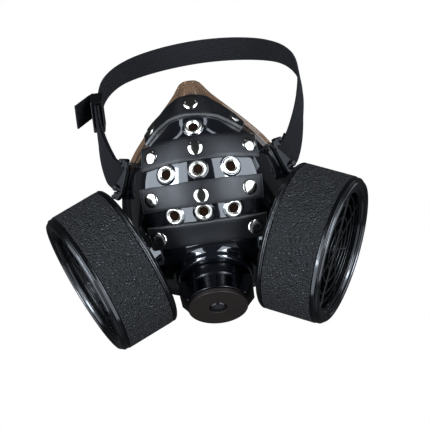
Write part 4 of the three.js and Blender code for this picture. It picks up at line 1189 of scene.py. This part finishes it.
def strip_part(name, seed):
    """A leather strip that lies on the panel, with rounded cut edges that wander a little, as cut by hand."""
    half = STRIP_HALF_LENGTHS[name]
    share = np.linspace(-1, 1, STRIP_STEPS + 1)
    x = STRIP_SHIFTS[name] + half * share
    surface = cover_y if name == "nose" else panel_y
    middle, normal = strip_place(name, x)
    ahead = strip_place(name, x + 0.5)[0]
    behind = strip_place(name, x - 0.5)[0]
    across = unit(np.cross(normal, unit(ahead - behind)))
    edge = STRIP_EDGE_ROUND / STRIP_WIDTH
    half_widths = [-0.5, -0.5 + 0.3 * edge, -0.5 + edge, -0.36, -0.2]
    widths = np.array([*half_widths, 0, *(-w for w in reversed(half_widths))])
    spots = middle[:, None] + across[:, None] * (widths[None, :, None] * STRIP_WIDTH)
    waver = sum(size * np.sin(share * rate + shift * seed) for size, rate, shift in STRIP_WAVES)
    edge_side = np.sign(widths) * (np.abs(widths) > 0.4)
    spots = spots + across[:, None] * edge_side[None, :, None] * waver[:, None, None]
    seats, normals = surface_at(surface, spots[..., 0], spots[..., 2])
    low = STRIP_SEAT
    high = STRIP_SEAT + STRIP_THICKNESS + STRIP_SWELL
    ends = np.clip((1 - np.abs(share)) * half / STRIP_END_ROUND, 0, 1)
    drop = STRIP_EDGE_ROUND * (1 - np.sqrt(ends))
    columns = []
    cut = []
    last = len(widths) - 1
    for index in range(len(widths)):
        columns.append((index, np.full(STRIP_STEPS + 1, low)))
        cut.append(1.0 if index in (0, last) else 0.0)
    heights = {0: high - STRIP_EDGE_ROUND, 1: high - 0.3 * STRIP_EDGE_ROUND}
    for index in range(last, -1, -1):
        near_edge = min(index, last - index)
        columns.append((index, heights.get(near_edge, high) - drop))
        cut.append({0: 1.0, 1: 0.35}.get(near_edge, 0.0))
    rings = np.stack([seats[:, i] + normals[:, i] * h[:, None] for i, h in columns], axis=1)
    cut = np.tile(np.array(cut), (STRIP_STEPS + 1, 1))
    cut[0] = 1.0
    cut[-1] = 1.0
    return loft(rings), cut.reshape(-1)


def make_strips(material):
    for seed, name in enumerate(("nose", "upper", "middle", "lower")):
        part, cut = strip_part(name, 1.7 * seed)
        obj = piece(name + "_strip_leather", part, sharp=60, weighted=False)
        point_attribute(obj.data, "cut_edge", cut)
        dress(obj, material, "strip_leather", name + "_strip")


def rivet_part(seat, depth):
    """A domed cap on a shank with a small cap behind."""
    foot = seat + RIVET_RIM
    slope = math.tan(math.radians(RIVET_EDGE_TILT))
    dome = [
        (share * (RIVET_RADIUS - 0.12), foot + 0.15 + slope * RIVET_RADIUS / 4 * (1 - share**4))
        for share in RIVET_DOME_SHARES
    ]
    under = [
        (RIVET_RADIUS - 0.5, seat), (RIVET_RADIUS - 0.1, seat + 0.1), (RIVET_RADIUS, seat + 0.5 * RIVET_RIM),
        (RIVET_RADIUS, foot),
    ]
    back = [
        (radius * RIVET_BACK_RADIUS, -depth - height * RIVET_BACK_HEIGHT)
        for radius, height in ((0, 1), (0.6, 0.85), (0.93, 0.4), (1, 0))
    ]
    return lathe(back + [(RIVET_SHANK, -depth), (RIVET_SHANK, seat)] + under + dome, 48)


def shell_depth(finder, frame):
    """How far behind its skin the shell's wall ends along a frame's axis."""
    out = Vector(frame[:3, 2])
    start = Vector(frame[:3, 3]) - PROBE_BEHIND * out
    hits = []
    for _ in range(PROBE_HITS):
        hit = finder.ray_cast(start, out)[0]
        if hit is None:
            break
        hits.append(to_local(np.array(hit), frame)[2])
        start = hit + PROBE_STEP * out
    behind = [h for h in hits if -WALL_DEEPEST < h < -WALL_NEAREST]
    return -min(behind) if behind else SHELL_WALL


def make_rivets(material):
    shell = surface_finder(shell_skins())
    for name, frame in rivet_frames().items():
        seat = STRIP_SEAT + STRIP_THICKNESS + RIVET_LIFT
        obj = piece(name + "_cap", placed(rivet_part(seat, shell_depth(shell, frame) + 0.05), frame))
        dress(obj, material, "nickel", name)


def eyelet_part():
    """A rolled flange that turns in over a small step to a short barrel."""
    crest = 0.52 * EYELET_RADIUS + 0.48 * EYELET_BORE
    barrel = EYELET_BORE + 0.5
    outline = [
        (EYELET_RADIUS, 0.06), (EYELET_RADIUS, 0.55), (crest + 0.5, EYELET_ROLL),
        (crest - 0.35, EYELET_ROLL - 0.02), (EYELET_BORE + 0.45, 0.75), (EYELET_BORE + 0.2, 0.45),
        (EYELET_BORE, 0.3), (EYELET_BORE, -EYELET_DEPTH), (barrel, -EYELET_DEPTH), (barrel, 0.06),
    ]
    return soft_lathe(outline, 0.55, 5, 64)


def eyelet_shade_disc():
    """A dark disc that closes an eyelet's bore: painted shade for the shadowed inside seen through the hole.
    """
    return lathe(ring_outline(0, EYELET_BORE + 0.3, -0.8, -1.2), 32)


def make_eyelets(metal, dark):
    for name, frame in eyelet_frames().items():
        ring = placed(eyelet_part(), frame)
        # The disc in the bore is painted shade for the hole's shadowed inside
        obj = piece(name + "_ring", joined(ring, placed(eyelet_shade_disc(), frame)))
        dress(obj, metal, "nickel", name)
        obj.data.materials.append(dark)
        for face in obj.data.polygons:
            face.material_index = int(face.index >= len(ring[1]))


BODY_RADIUS = CANISTER_RADIUS - BAND_THICKNESS - GAP
RIM_BASE = CANISTER_LENGTH + GAP
RIM_TOP = RIM_BASE + FRONT_RIM_HEIGHT


def canister_part():
    """Cup with a bevelled and grooved back ring and a neck."""
    cup = BODY_RADIUS - CANISTER_WALL
    outline = [
        (NECK_BORE, -NECK_LENGTH), (NECK_RADIUS, -NECK_LENGTH), (NECK_RADIUS, 0), (CANISTER_RADIUS - 14, 0),
        *((CANISTER_RADIUS - inward, height) for inward, height in BACK_RING_PROFILE),
        (BODY_RADIUS, BACK_RING_HEIGHT), (BODY_RADIUS, CANISTER_LENGTH), (cup, CANISTER_LENGTH),
        (cup, CANISTER_WALL), (NECK_BORE, CANISTER_WALL),
    ]
    return soft_lathe(outline, 0.25, 3, CANISTER_SIDES)


def band_part():
    inner = CANISTER_RADIUS - BAND_THICKNESS
    outline = ring_outline(inner, CANISTER_RADIUS, BACK_RING_HEIGHT + GAP, CANISTER_LENGTH)
    return soft_lathe(outline, 0.55, 5, CANISTER_SIDES)


def front_rim_part():
    """Stepped ring: outer wall, shoulder, bevelled lip, inner step and recess."""
    outer = CANISTER_RADIUS - 0.4
    sleeve = BODY_RADIUS - CANISTER_WALL - GAP
    sleeve_end = RIM_BASE - FRONT_RIM_HEIGHT
    outline = [
        *((outer - inward, RIM_BASE + rise) for inward, rise in FRONT_RIM_WALL),
        *((outer - inward, RIM_TOP - drop) for inward, drop in FRONT_RIM_LIP),
        (RECESS_RADIUS, RIM_TOP - 2.6), (RECESS_RADIUS, sleeve_end), (sleeve, sleeve_end), (sleeve, RIM_BASE),
    ]
    return soft_lathe(outline, 0.3, 4, CANISTER_SIDES)


def grille_part():
    """A web of round rings and ribs, one pair of ribs a broad bar."""
    low = RIM_TOP - GRILLE_DEPTH
    high = low + GRILLE_THICKNESS
    parts = []
    for share in GRILLE_RING_RADII:
        radius = share * CANISTER_RADIUS
        inner = radius - GRILLE_RING_WIDTH / 2
        outer = radius + GRILLE_RING_WIDTH / 2
        parts.append(soft_lathe(ring_outline(inner, outer, low, high), 0.3, 3, 96))
    hub = GRILLE_RING_RADII[0] * CANISTER_RADIUS
    parts.append(soft_lathe(ring_outline(0, hub, low + 0.1, high - 0.1), 0.3, 3, 48))
    reach = RECESS_RADIUS + 0.3
    for i in range(GRILLE_RIBS // 2):
        width = GRILLE_BAR_WIDTH if i == 0 else GRILLE_RIB_WIDTH
        rise = GRILLE_BAR_RISE if i == 0 else 0.0
        bar = soft_box((width, 2 * reach, GRILLE_THICKNESS + rise), (0, 0, (low + high + rise) / 2), 0.28, 3)
        parts.append(turned(bar, i * 2 * math.pi / GRILLE_RIBS))
    return joined(*parts)


def make_canisters(black, pebbled):
    kinds = (
        ("canister_cup_", canister_part(), black, "gloss_black", "canister_"),
        ("leather_wrap_", band_part(), pebbled, "pebbled_leather", "leather_band_"),
        ("rim_ring_", front_rim_part(), black, "gloss_black", "front_rim_"),
        ("web_", grille_part(), black, "gloss_black", "grille_"),
    )
    for side, sign in (("left", 1), ("right", -1)):
        frame = canister_frame(sign)
        for name, part, material, slot, node in kinds:
            dress(piece(name + side, placed(part, frame)), material, slot, node + side)


CAGE_BASE = BOSS_HEIGHT + GAP
WINDOW_BASE = CAGE_BASE + COLLAR_HEIGHT
CAGE_TOP = WINDOW_BASE + WINDOW_HEIGHT + CAGE_RING_HEIGHT
CAP_BASE = CAGE_TOP + GAP


def lug_part(side):
    start = BOSS_HEIGHT + 3.4
    root = DRUM_RADIUS + 0.5
    outline = [
        (root, start), (LUG_REACH - 0.8, start), (LUG_REACH, start + 1.4), (LUG_REACH, start + 8),
        (LUG_REACH - 3.9, CAGE_TOP), (root, CAGE_TOP),
    ]
    points, faces = soft_plate(outline, -LUG_WIDTH / 2, LUG_WIDTH / 2, 0.7, 3)
    upright = np.stack([side * points[:, 0], -side * points[:, 2], points[:, 1]], axis=-1)
    return upright, faces


def cage_part():
    """Collar, windowed cage with posts, drum and side lugs."""
    ring = COLLAR_RADIUS - GAP
    plug = VALVE_BORE - 0.3
    collar = [
        (0, 0), (plug, 0), (plug, CAGE_BASE), (COLLAR_RADIUS - 0.3, CAGE_BASE),
        (COLLAR_RADIUS, CAGE_BASE + 0.5), (COLLAR_RADIUS, WINDOW_BASE - 0.9),
        (COLLAR_RADIUS - 0.5, WINDOW_BASE - 0.5), (ring, WINDOW_BASE),
        (ring - 2.0, WINDOW_BASE), (0, WINDOW_BASE - 0.2),
    ]
    upper = ring_outline(ring - CAGE_RING_WIDTH, ring, CAGE_TOP - CAGE_RING_HEIGHT, CAGE_TOP)
    drum = ring_outline(0, DRUM_RADIUS, CAGE_BASE, CAGE_TOP)
    parts = [soft_lathe(outline, 0.35, 4, VALVE_SIDES) for outline in (collar, upper)]
    parts.append(soft_lathe(drum, 0.4, 3, 96))
    middle = (0, ring - 1.5, WINDOW_BASE + WINDOW_HEIGHT / 2)
    post = soft_box((CAGE_POST_WIDTH, CAGE_POST_DEPTH, WINDOW_HEIGHT + 0.6), middle, 0.35, 3)
    for i in range(CAGE_POSTS):
        parts.append(turned(post, i * 2 * math.pi / CAGE_POSTS))
    return joined(*parts, lug_part(1), lug_part(-1))


def cap_part():
    top = CAP_BASE + CAP_THICKNESS
    floor = top - BUTTON_DEPTH
    outline = [
        (0, CAP_BASE), (CAP_RADIUS, CAP_BASE), (CAP_RADIUS, top),
        (BUTTON_RECESS, top), (BUTTON_RECESS, floor), (0, floor),
    ]
    return soft_lathe(outline, 0.4, 5, 128)


def button_part():
    base = CAP_BASE + CAP_THICKNESS - BUTTON_DEPTH + 0.05
    side = base + 0.45 * BUTTON_DEPTH
    angles = np.linspace(0, math.pi / 2, 14)
    dome = [(BUTTON_RADIUS * math.cos(a), side + (BUTTON_DOME + 0.2) * math.sin(a)) for a in angles]
    dome[-1] = (0.0, dome[-1][1])
    return lathe([(0.0, base), (BUTTON_RADIUS, base)] + dome, 64)


def make_valve(black, cap_material, gloss):
    frame = valve_frame()
    dress(piece("valve_cage_body", placed(cage_part(), frame)), black, "gloss_black", "valve_cage")
    dress(piece("valve_cap_disc", placed(cap_part(), frame)), cap_material, "dark_cap", "valve_cap")
    dress(piece("valve_button_dome", placed(button_part(), frame)), gloss, "gloss_black", "valve_button")


def buckle_part():
    """The hooked plate, the bar that carries the strap, the peg in its notch and the link into the shell."""
    corners = [np.array([out * BUCKLE_REACH, -down * BUCKLE_HEIGHT]) for out, down in BUCKLE_OUTLINE]
    outline = rounded(corners, 0.9, 3)
    parts = [soft_plate(outline[::-1], BUCKLE_LIFT, BUCKLE_LIFT + BUCKLE_THICKNESS, 0.4, 3)]
    reach = STRAP_WIDTH / 2 + STRAP_SIDE_PLAY + STRAP_BAR_RADIUS
    back = BAR_CENTRE[2] - STRAP_BAR_RADIUS
    height = BUCKLE_LIFT + BUCKLE_THICKNESS - back
    post = 2 * STRAP_BAR_RADIUS
    for end in (1, -1):
        y = BAR_CENTRE[1] + end * reach
        parts.append(soft_box((post, post, height), (BAR_CENTRE[0], y, back + height / 2), 0.35))
        arm = BAR_CENTRE[0] + STRAP_BAR_RADIUS - 1
        thick = 0.7 * BUCKLE_THICKNESS
        parts.append(soft_box((arm, post, thick), (1 + arm / 2, y, BUCKLE_LIFT + thick / 2), 0.35))
    bar_ends = [BAR_CENTRE + (0, s * reach, 0) for s in (-1, -0.3, 0.3, 1)]
    parts.append(tube(bar_ends, STRAP_BAR_RADIUS, 20, 12))
    pin_y = -PIN_DROP * BUCKLE_HEIGHT
    pin_z = BUCKLE_LIFT + BUCKLE_THICKNESS / 2
    parts.append(tube([(x, pin_y, pin_z) for x in (-1, 1, 3, PIN_OUT)], PIN_RADIUS))
    rim = PIN_KNOB - 0.5
    knob = [(0, -1.6), (rim, -1.6), (PIN_KNOB, -0.9), (PIN_KNOB, 0.9), (rim, 1.6), (0, 1.6)]
    pin_end = frame_at((PIN_OUT, pin_y, pin_z), (0, 0, 1), (0, 1, 0))
    parts.append(placed(soft_lathe(knob, 0.6, 4, 40), pin_end))
    start = np.array([-1, -LINK_DROP * BUCKLE_HEIGHT, pin_z])
    heights = (SHELL_WALL + LINK_RADIUS + 2 * GAP, 0.5, -SHELL_WALL)
    over, within, behind = (to_local(moved((0, 0, h), slot_frame(1)), BUCKLE_FRAME) for h in heights)
    parts.append(tube([start, lerp(start, over, 0.55), over, within, behind], LINK_RADIUS))
    return placed(joined(*parts), BUCKLE_FRAME)


def make_buckles(material):
    left = buckle_part()
    dress(piece("buckle_plate_left", left), material, "buckle_grey", "buckle_left")
    dress(piece("buckle_plate_right", mirrored(left)), material, "buckle_grey", "buckle_right")


# Head strap

BAR_POINT = moved(BAR_CENTRE, BUCKLE_FRAME)
BUCKLE_UP = BUCKLE_FRAME[:3, 1]
BUCKLE_FACE = BUCKLE_FRAME[:3, 2]
LOOP_RADIUS = STRAP_BAR_RADIUS + GAP + STRAP_THICKNESS / 2
LAYER = STRAP_THICKNESS + GAP


def strap_rows():
    start = BAR_POINT + BUCKLE_FACE * LOOP_RADIUS
    scale = np.array([STRAP_HALF_SPAN, STRAP_REACH, STRAP_RISE])
    route = [np.array(place) * scale + (0, 0, BAR_POINT[2]) for place, _ in STRAP_ROUTE]
    lead = route[0] - start
    lead = unit(lead - BUCKLE_FACE * lead.dot(BUCKLE_FACE)) * STRAP_STRAIGHT
    points = [start, start + lead, *route]
    ups = [BUCKLE_UP, BUCKLE_UP] + [unit(up) for _, up in STRAP_ROUTE]
    return np.array(points), np.array(ups)


STRAP_POINTS, STRAP_UPS = strap_rows()
STRAP_PATH = np.vstack([STRAP_POINTS, STRAP_POINTS[-2] * RIGHT_TO_LEFT])
FINE_PLACES = np.linspace(0, len(STRAP_POINTS) - 1, 2001)
FINE_LENGTHS = np.concatenate([
    [0], np.cumsum(np.linalg.norm(np.diff(spline(STRAP_PATH, FINE_PLACES, True), axis=0), axis=1)),
])
HALF_STRAP = FINE_LENGTHS[-1]


def layer_close(s):
    """0 beside the bar, where the layers stand a loop apart, and 1 where they lie on each other."""
    return smoothstep(s * HALF_STRAP, 0, LAYER_JOIN)


def strap_at(s):
    """Point, width direction, running direction and face of the strap at a share of the way to the back."""
    place = float(np.interp(s * HALF_STRAP, FINE_LENGTHS, FINE_PLACES))
    row = min(int(place), len(STRAP_UPS) - 2)
    up = lerp(STRAP_UPS[row], STRAP_UPS[row + 1], place - row)
    step = 0.002
    points = spline(STRAP_PATH, np.array([max(place - step, 0), place, place + step]), True)
    along = unit(points[2] - points[0])
    up = unit(up - along * up.dot(along) * layer_close(s))
    return points[1], up, along, unit(np.cross(along, up))


def strap_section():
    """The ribbed section: places across the width, heights of both faces, and a paleness that follows how far
    each is up a rib, painted shade in the grooves.
    """
    half = STRAP_WIDTH / 2
    inside = half - STRAP_EDGE
    pitch = 2 * inside / STRAP_RIBS
    rows = [(inset - half, height, shade) for inset, height, shade in STRAP_EDGE_POINTS]
    rows.append((STRAP_GROOVE - inside, 0.62, 0.0))
    for rib in range(STRAP_RIBS):
        left = -inside + rib * pitch
        rows += [(left + share * pitch, height, shade) for share, height, shade in STRAP_RIB_POINTS]
    rows[-1] = (inside - STRAP_GROOVE, *rows[-1][1:])
    rows += [(half - inset, height, shade) for inset, height, shade in reversed(STRAP_EDGE_POINTS)]
    across, height, shade = np.array(rows).T
    height = height * STRAP_THICKNESS / 2
    faces = np.concatenate([-height, height[::-1]])
    return np.concatenate([across, across[::-1]]), faces, np.concatenate([shade, shade[::-1]])


STRAP_ACROSS, STRAP_HEIGHTS, STRAP_GROOVE_SHADE = strap_section()


def strap_ring(point, up, face):
    return point + STRAP_ACROSS[:, None] * up + STRAP_HEIGHTS[:, None] * face


def strap_station(s, offset, turn):
    point, up, _, face = strap_at(s)
    return strap_ring(point + face * offset, up, face * turn)


def bar_loop(turn):
    """The strap's turn round the buckle's bar."""
    steps = 16
    across = np.cross(BUCKLE_FACE, -BUCKLE_UP)
    rings = []
    for i in range(1, steps):
        angle = math.pi * (1.5 - i / steps)
        radial = across * math.cos(angle) + BUCKLE_FACE * math.sin(angle)
        rings.append(strap_ring(BAR_POINT + radial * LOOP_RADIUS, BUCKLE_UP, radial * turn))
    return rings


def free_end(reach):
    """The free end, folded back over the slider, with a soft curl in the flap."""
    point, up, along, face = strap_at(SLIDER_PLACE + reach)
    centre = point + face * (LAYER + FLAP_TURN)
    last = math.radians(FLAP_ANGLE)
    rings = []
    for angle in np.linspace(0, last, FLAP_FOLD_STEPS)[1:]:
        radial = along * math.sin(angle) - face * math.cos(angle)
        rings.append(strap_ring(centre + radial * FLAP_TURN, up, radial))
    away = along * math.cos(last) + face * math.sin(last)
    for share in np.linspace(0, 1, FLAP_STEPS)[1:]:
        rings.append(strap_ring(centre + radial * FLAP_TURN + away * FLAP_LENGTH * share, up, radial))
    return rings


def strap_rings():
    stations = int(HALF_STRAP / STRAP_STATION)
    tail = STRAP_TAIL / HALF_STRAP
    reach = (SLIDER_LENGTH / 2 + 1.5) / HALF_STRAP
    doubled = SLIDER_PLACE + reach
    left = []
    for s in np.linspace(tail, 0, STRAP_TAIL_STEPS):
        left.append(strap_station(s, -lerp(2 * LOOP_RADIUS, LAYER, layer_close(s)), -1))
    left += bar_loop(1)
    left += [strap_station(s, 0, 1) for s in np.linspace(0, 1, stations + 1)]
    right = []
    for s in np.linspace(1, 0, stations + 1)[1:]:
        right.append(strap_station(s, -2 * LOOP_RADIUS * (1 - layer_close(s)), 1))
    right += bar_loop(-1)
    for s in np.linspace(0, doubled, int(stations * doubled)):
        right.append(strap_station(s, LAYER * layer_close(s), -1))
    right += free_end(reach)
    return left + [ring * RIGHT_TO_LEFT for ring in right]


def make_strap(material):
    rings = np.array(strap_rings())
    part = loft(rings)
    obj = piece("head_strap_band", part, sharp=70, weighted=False)
    mesh = obj.data
    count, width = rings.shape[:2]
    # The paleness across the section, painted shade in the grooves, as a point attribute
    point_attribute(mesh, "rib", np.tile(STRAP_GROOVE_SHADE, count))
    lengths = np.concatenate([[0], np.cumsum(np.linalg.norm(np.diff(rings.mean(axis=1), axis=0), axis=1))])
    coordinates_uv = np.stack([np.repeat(lengths, width), np.tile(STRAP_ACROSS, count)], axis=-1)
    layer = mesh.uv_layers.new(name="weave")
    loops = np.empty(len(mesh.loops), int)
    mesh.loops.foreach_get("vertex_index", loops)
    layer.data.foreach_set("uv", coordinates_uv[loops].astype(np.float32).reshape(-1))
    dress(obj, material, "elastic", "head_strap")


def make_slider(material):
    """A ladder slide: a back plate, two rails and three bars over the strap."""
    point, up, along, face = strap_at(SLIDER_PLACE)
    frame = frame_of(along, up, face, point + face * LAYER / 2)
    window_width = STRAP_WIDTH + 2 * SLIDER_GAP
    window_height = STRAP_THICKNESS + LAYER + 2 * SLIDER_GAP
    wall = 0.8 * SLIDER_WALL
    rail = (SLIDER_WIDTH - window_width) / 2
    height = window_height + 2 * wall
    parts = [soft_box((SLIDER_LENGTH, SLIDER_WIDTH, wall), (0, 0, -(window_height + wall) / 2), 0.45, 3)]
    for side in (1, -1):
        y = side * (window_width + rail) / 2
        parts.append(soft_box((SLIDER_LENGTH, rail, height), (0, y, 0), 0.6, 3))
    bar = (SLIDER_WALL, window_width + rail, wall)
    for place in (0, 1, -1):
        x = place * (SLIDER_LENGTH / 2 - SLIDER_WALL / 2)
        parts.append(soft_box(bar, (x, 0, (window_height + wall) / 2), 0.45, 3))
    obj = piece("strap_slider_ladder", mirrored(placed(joined(*parts), frame)))
    dress(obj, material, "gloss_black", "strap_slider")


# Studio


def make_camera():
    azimuth = math.radians(CAMERA_AZIMUTH)
    elevation = math.radians(CAMERA_ELEVATION)
    roll = math.radians(CAMERA_ROLL)
    reach = math.cos(elevation)
    forward = np.array([-math.sin(azimuth) * reach, math.cos(azimuth) * reach, -math.sin(elevation)])
    level = np.array([math.cos(azimuth), math.sin(azimuth), 0])
    upright = np.cross(level, forward)
    right = level * math.cos(roll) - upright * math.sin(roll)
    up = level * math.sin(roll) + upright * math.cos(roll)
    place = np.array(CAMERA_TARGET) - forward * CAMERA_DISTANCE
    half = IMAGE_PIXELS / 2
    aim = forward * FOCAL_PIXELS + right * (half - TARGET_PIXEL[0]) + up * (TARGET_PIXEL[1] - half)
    look = unit(aim)
    right = unit(right - look * right.dot(look))
    up = np.cross(right, look)
    camera = bpy.data.cameras.new("camera")
    camera.sensor_width = SENSOR_WIDTH
    camera.lens = FOCAL_PIXELS / IMAGE_PIXELS * SENSOR_WIDTH
    obj = new_object("camera", camera)
    obj.matrix_world = Matrix(frame_of(right, up, -look, place * MM).tolist())
    bpy.context.scene.camera = obj


def softbox(name, azimuth, away, middle, size, radiance):
    """An upright rectangular light that faces the mask."""
    light = bpy.data.lights.new(name, "AREA")
    light.shape = "RECTANGLE"
    light.size, light.size_y = size
    light.energy = radiance * math.pi * size[0] * size[1]
    light.color = SOFTBOX_COLOUR
    obj = new_object(name, light)
    turn = math.radians(azimuth)
    obj.location = (away * math.sin(turn), -away * math.cos(turn), middle)
    inward = Vector((-math.sin(turn), math.cos(turn), 0))
    obj.rotation_euler = inward.to_track_quat("-Z", "Y").to_euler()


def make_lights():
    for name, values in SOFTBOXES.items():
        softbox(name, *values)


def make_world():
    """Pale all round for the camera, dimmer as a light."""
    world = bpy.data.worlds.new("studio")
    bpy.context.scene.world = world
    world.use_nodes = True
    nodes = world.node_tree.nodes
    backdrop = nodes["Background"]
    backdrop.inputs["Color"].default_value = (1.0, 1.0, 1.0, 1)
    dim = nodes.new("ShaderNodeBackground")
    dim.inputs["Color"].default_value = (*WORLD_COLOUR, 1)
    dim.inputs["Strength"].default_value = WORLD_STRENGTH
    path = nodes.new("ShaderNodeLightPath")
    seen = math_node("MAXIMUM", path.outputs["Is Camera Ray"], path.outputs["Is Transmission Ray"])
    mix = nodes.new("ShaderNodeMixShader")
    link(seen, mix, 0)
    link(dim.outputs[0], mix, 1)
    link(backdrop.outputs[0], mix, 2)
    link(mix.outputs[0], nodes["World Output"], "Surface")


def make_floor(material):
    made = bmesh.new()
    bmesh.ops.create_circle(made, cap_ends=True, radius=FLOOR_RADIUS, segments=96)
    mesh = bpy.data.meshes.new("studio_floor")
    made.to_mesh(mesh)
    made.free()
    mesh.materials.append(material)
    obj = new_object("studio_floor", mesh)
    obj.location = (0, 0, -FLOOR_DROP)


def corners(box):
    return [[float(value) for value in corner] for corner in box]


def main():
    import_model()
    black = glossy_plastic("gloss_black", GLOSS_BLACK, 0.2)
    make_shell(shell_plastic())
    make_strips(strip_leather())
    metal = nickel("nickel", 0.08, 0.2)
    make_rivets(metal)
    # Painted shade for the eyelets' holes
    dark = satin_plastic("eyelet_hole_shade", HOLE_SHADE_BROWN, 0.9, grain_scale=900.0, grain=0.00001, level=0.05)
    make_eyelets(nickel("eyelet_nickel", 0.24, 0.36), dark)
    make_canisters(black, pebbled_leather())
    cage = satin_plastic("cage_black", CAGE_BLACK, 0.2, grain_scale=900.0, grain=0.000002, level=0.6)
    # The cap's brown is partly a painted reflection of warm skin below
    cap = satin_plastic("dark_cap", CAP_BROWN_AND_SKIN_REFLECTION, 0.5, grain_scale=1500.0, grain=0.00003)
    make_valve(cage, cap, glossy_plastic("button_gloss", BUTTON_BLACK, 0.08))
    make_buckles(satin_plastic("buckle_grey", BUCKLE_GREY, 0.5, grain_scale=1100.0, grain=0.00003))
    make_strap(ribbed_elastic())
    make_slider(black)
    make_camera()
    make_lights()
    make_world()
    make_floor(studio_floor())
    bpy.context.scene.view_settings.view_transform = "Standard"
    bpy.context.scene.view_settings.gamma = VIEW_GAMMA


main()
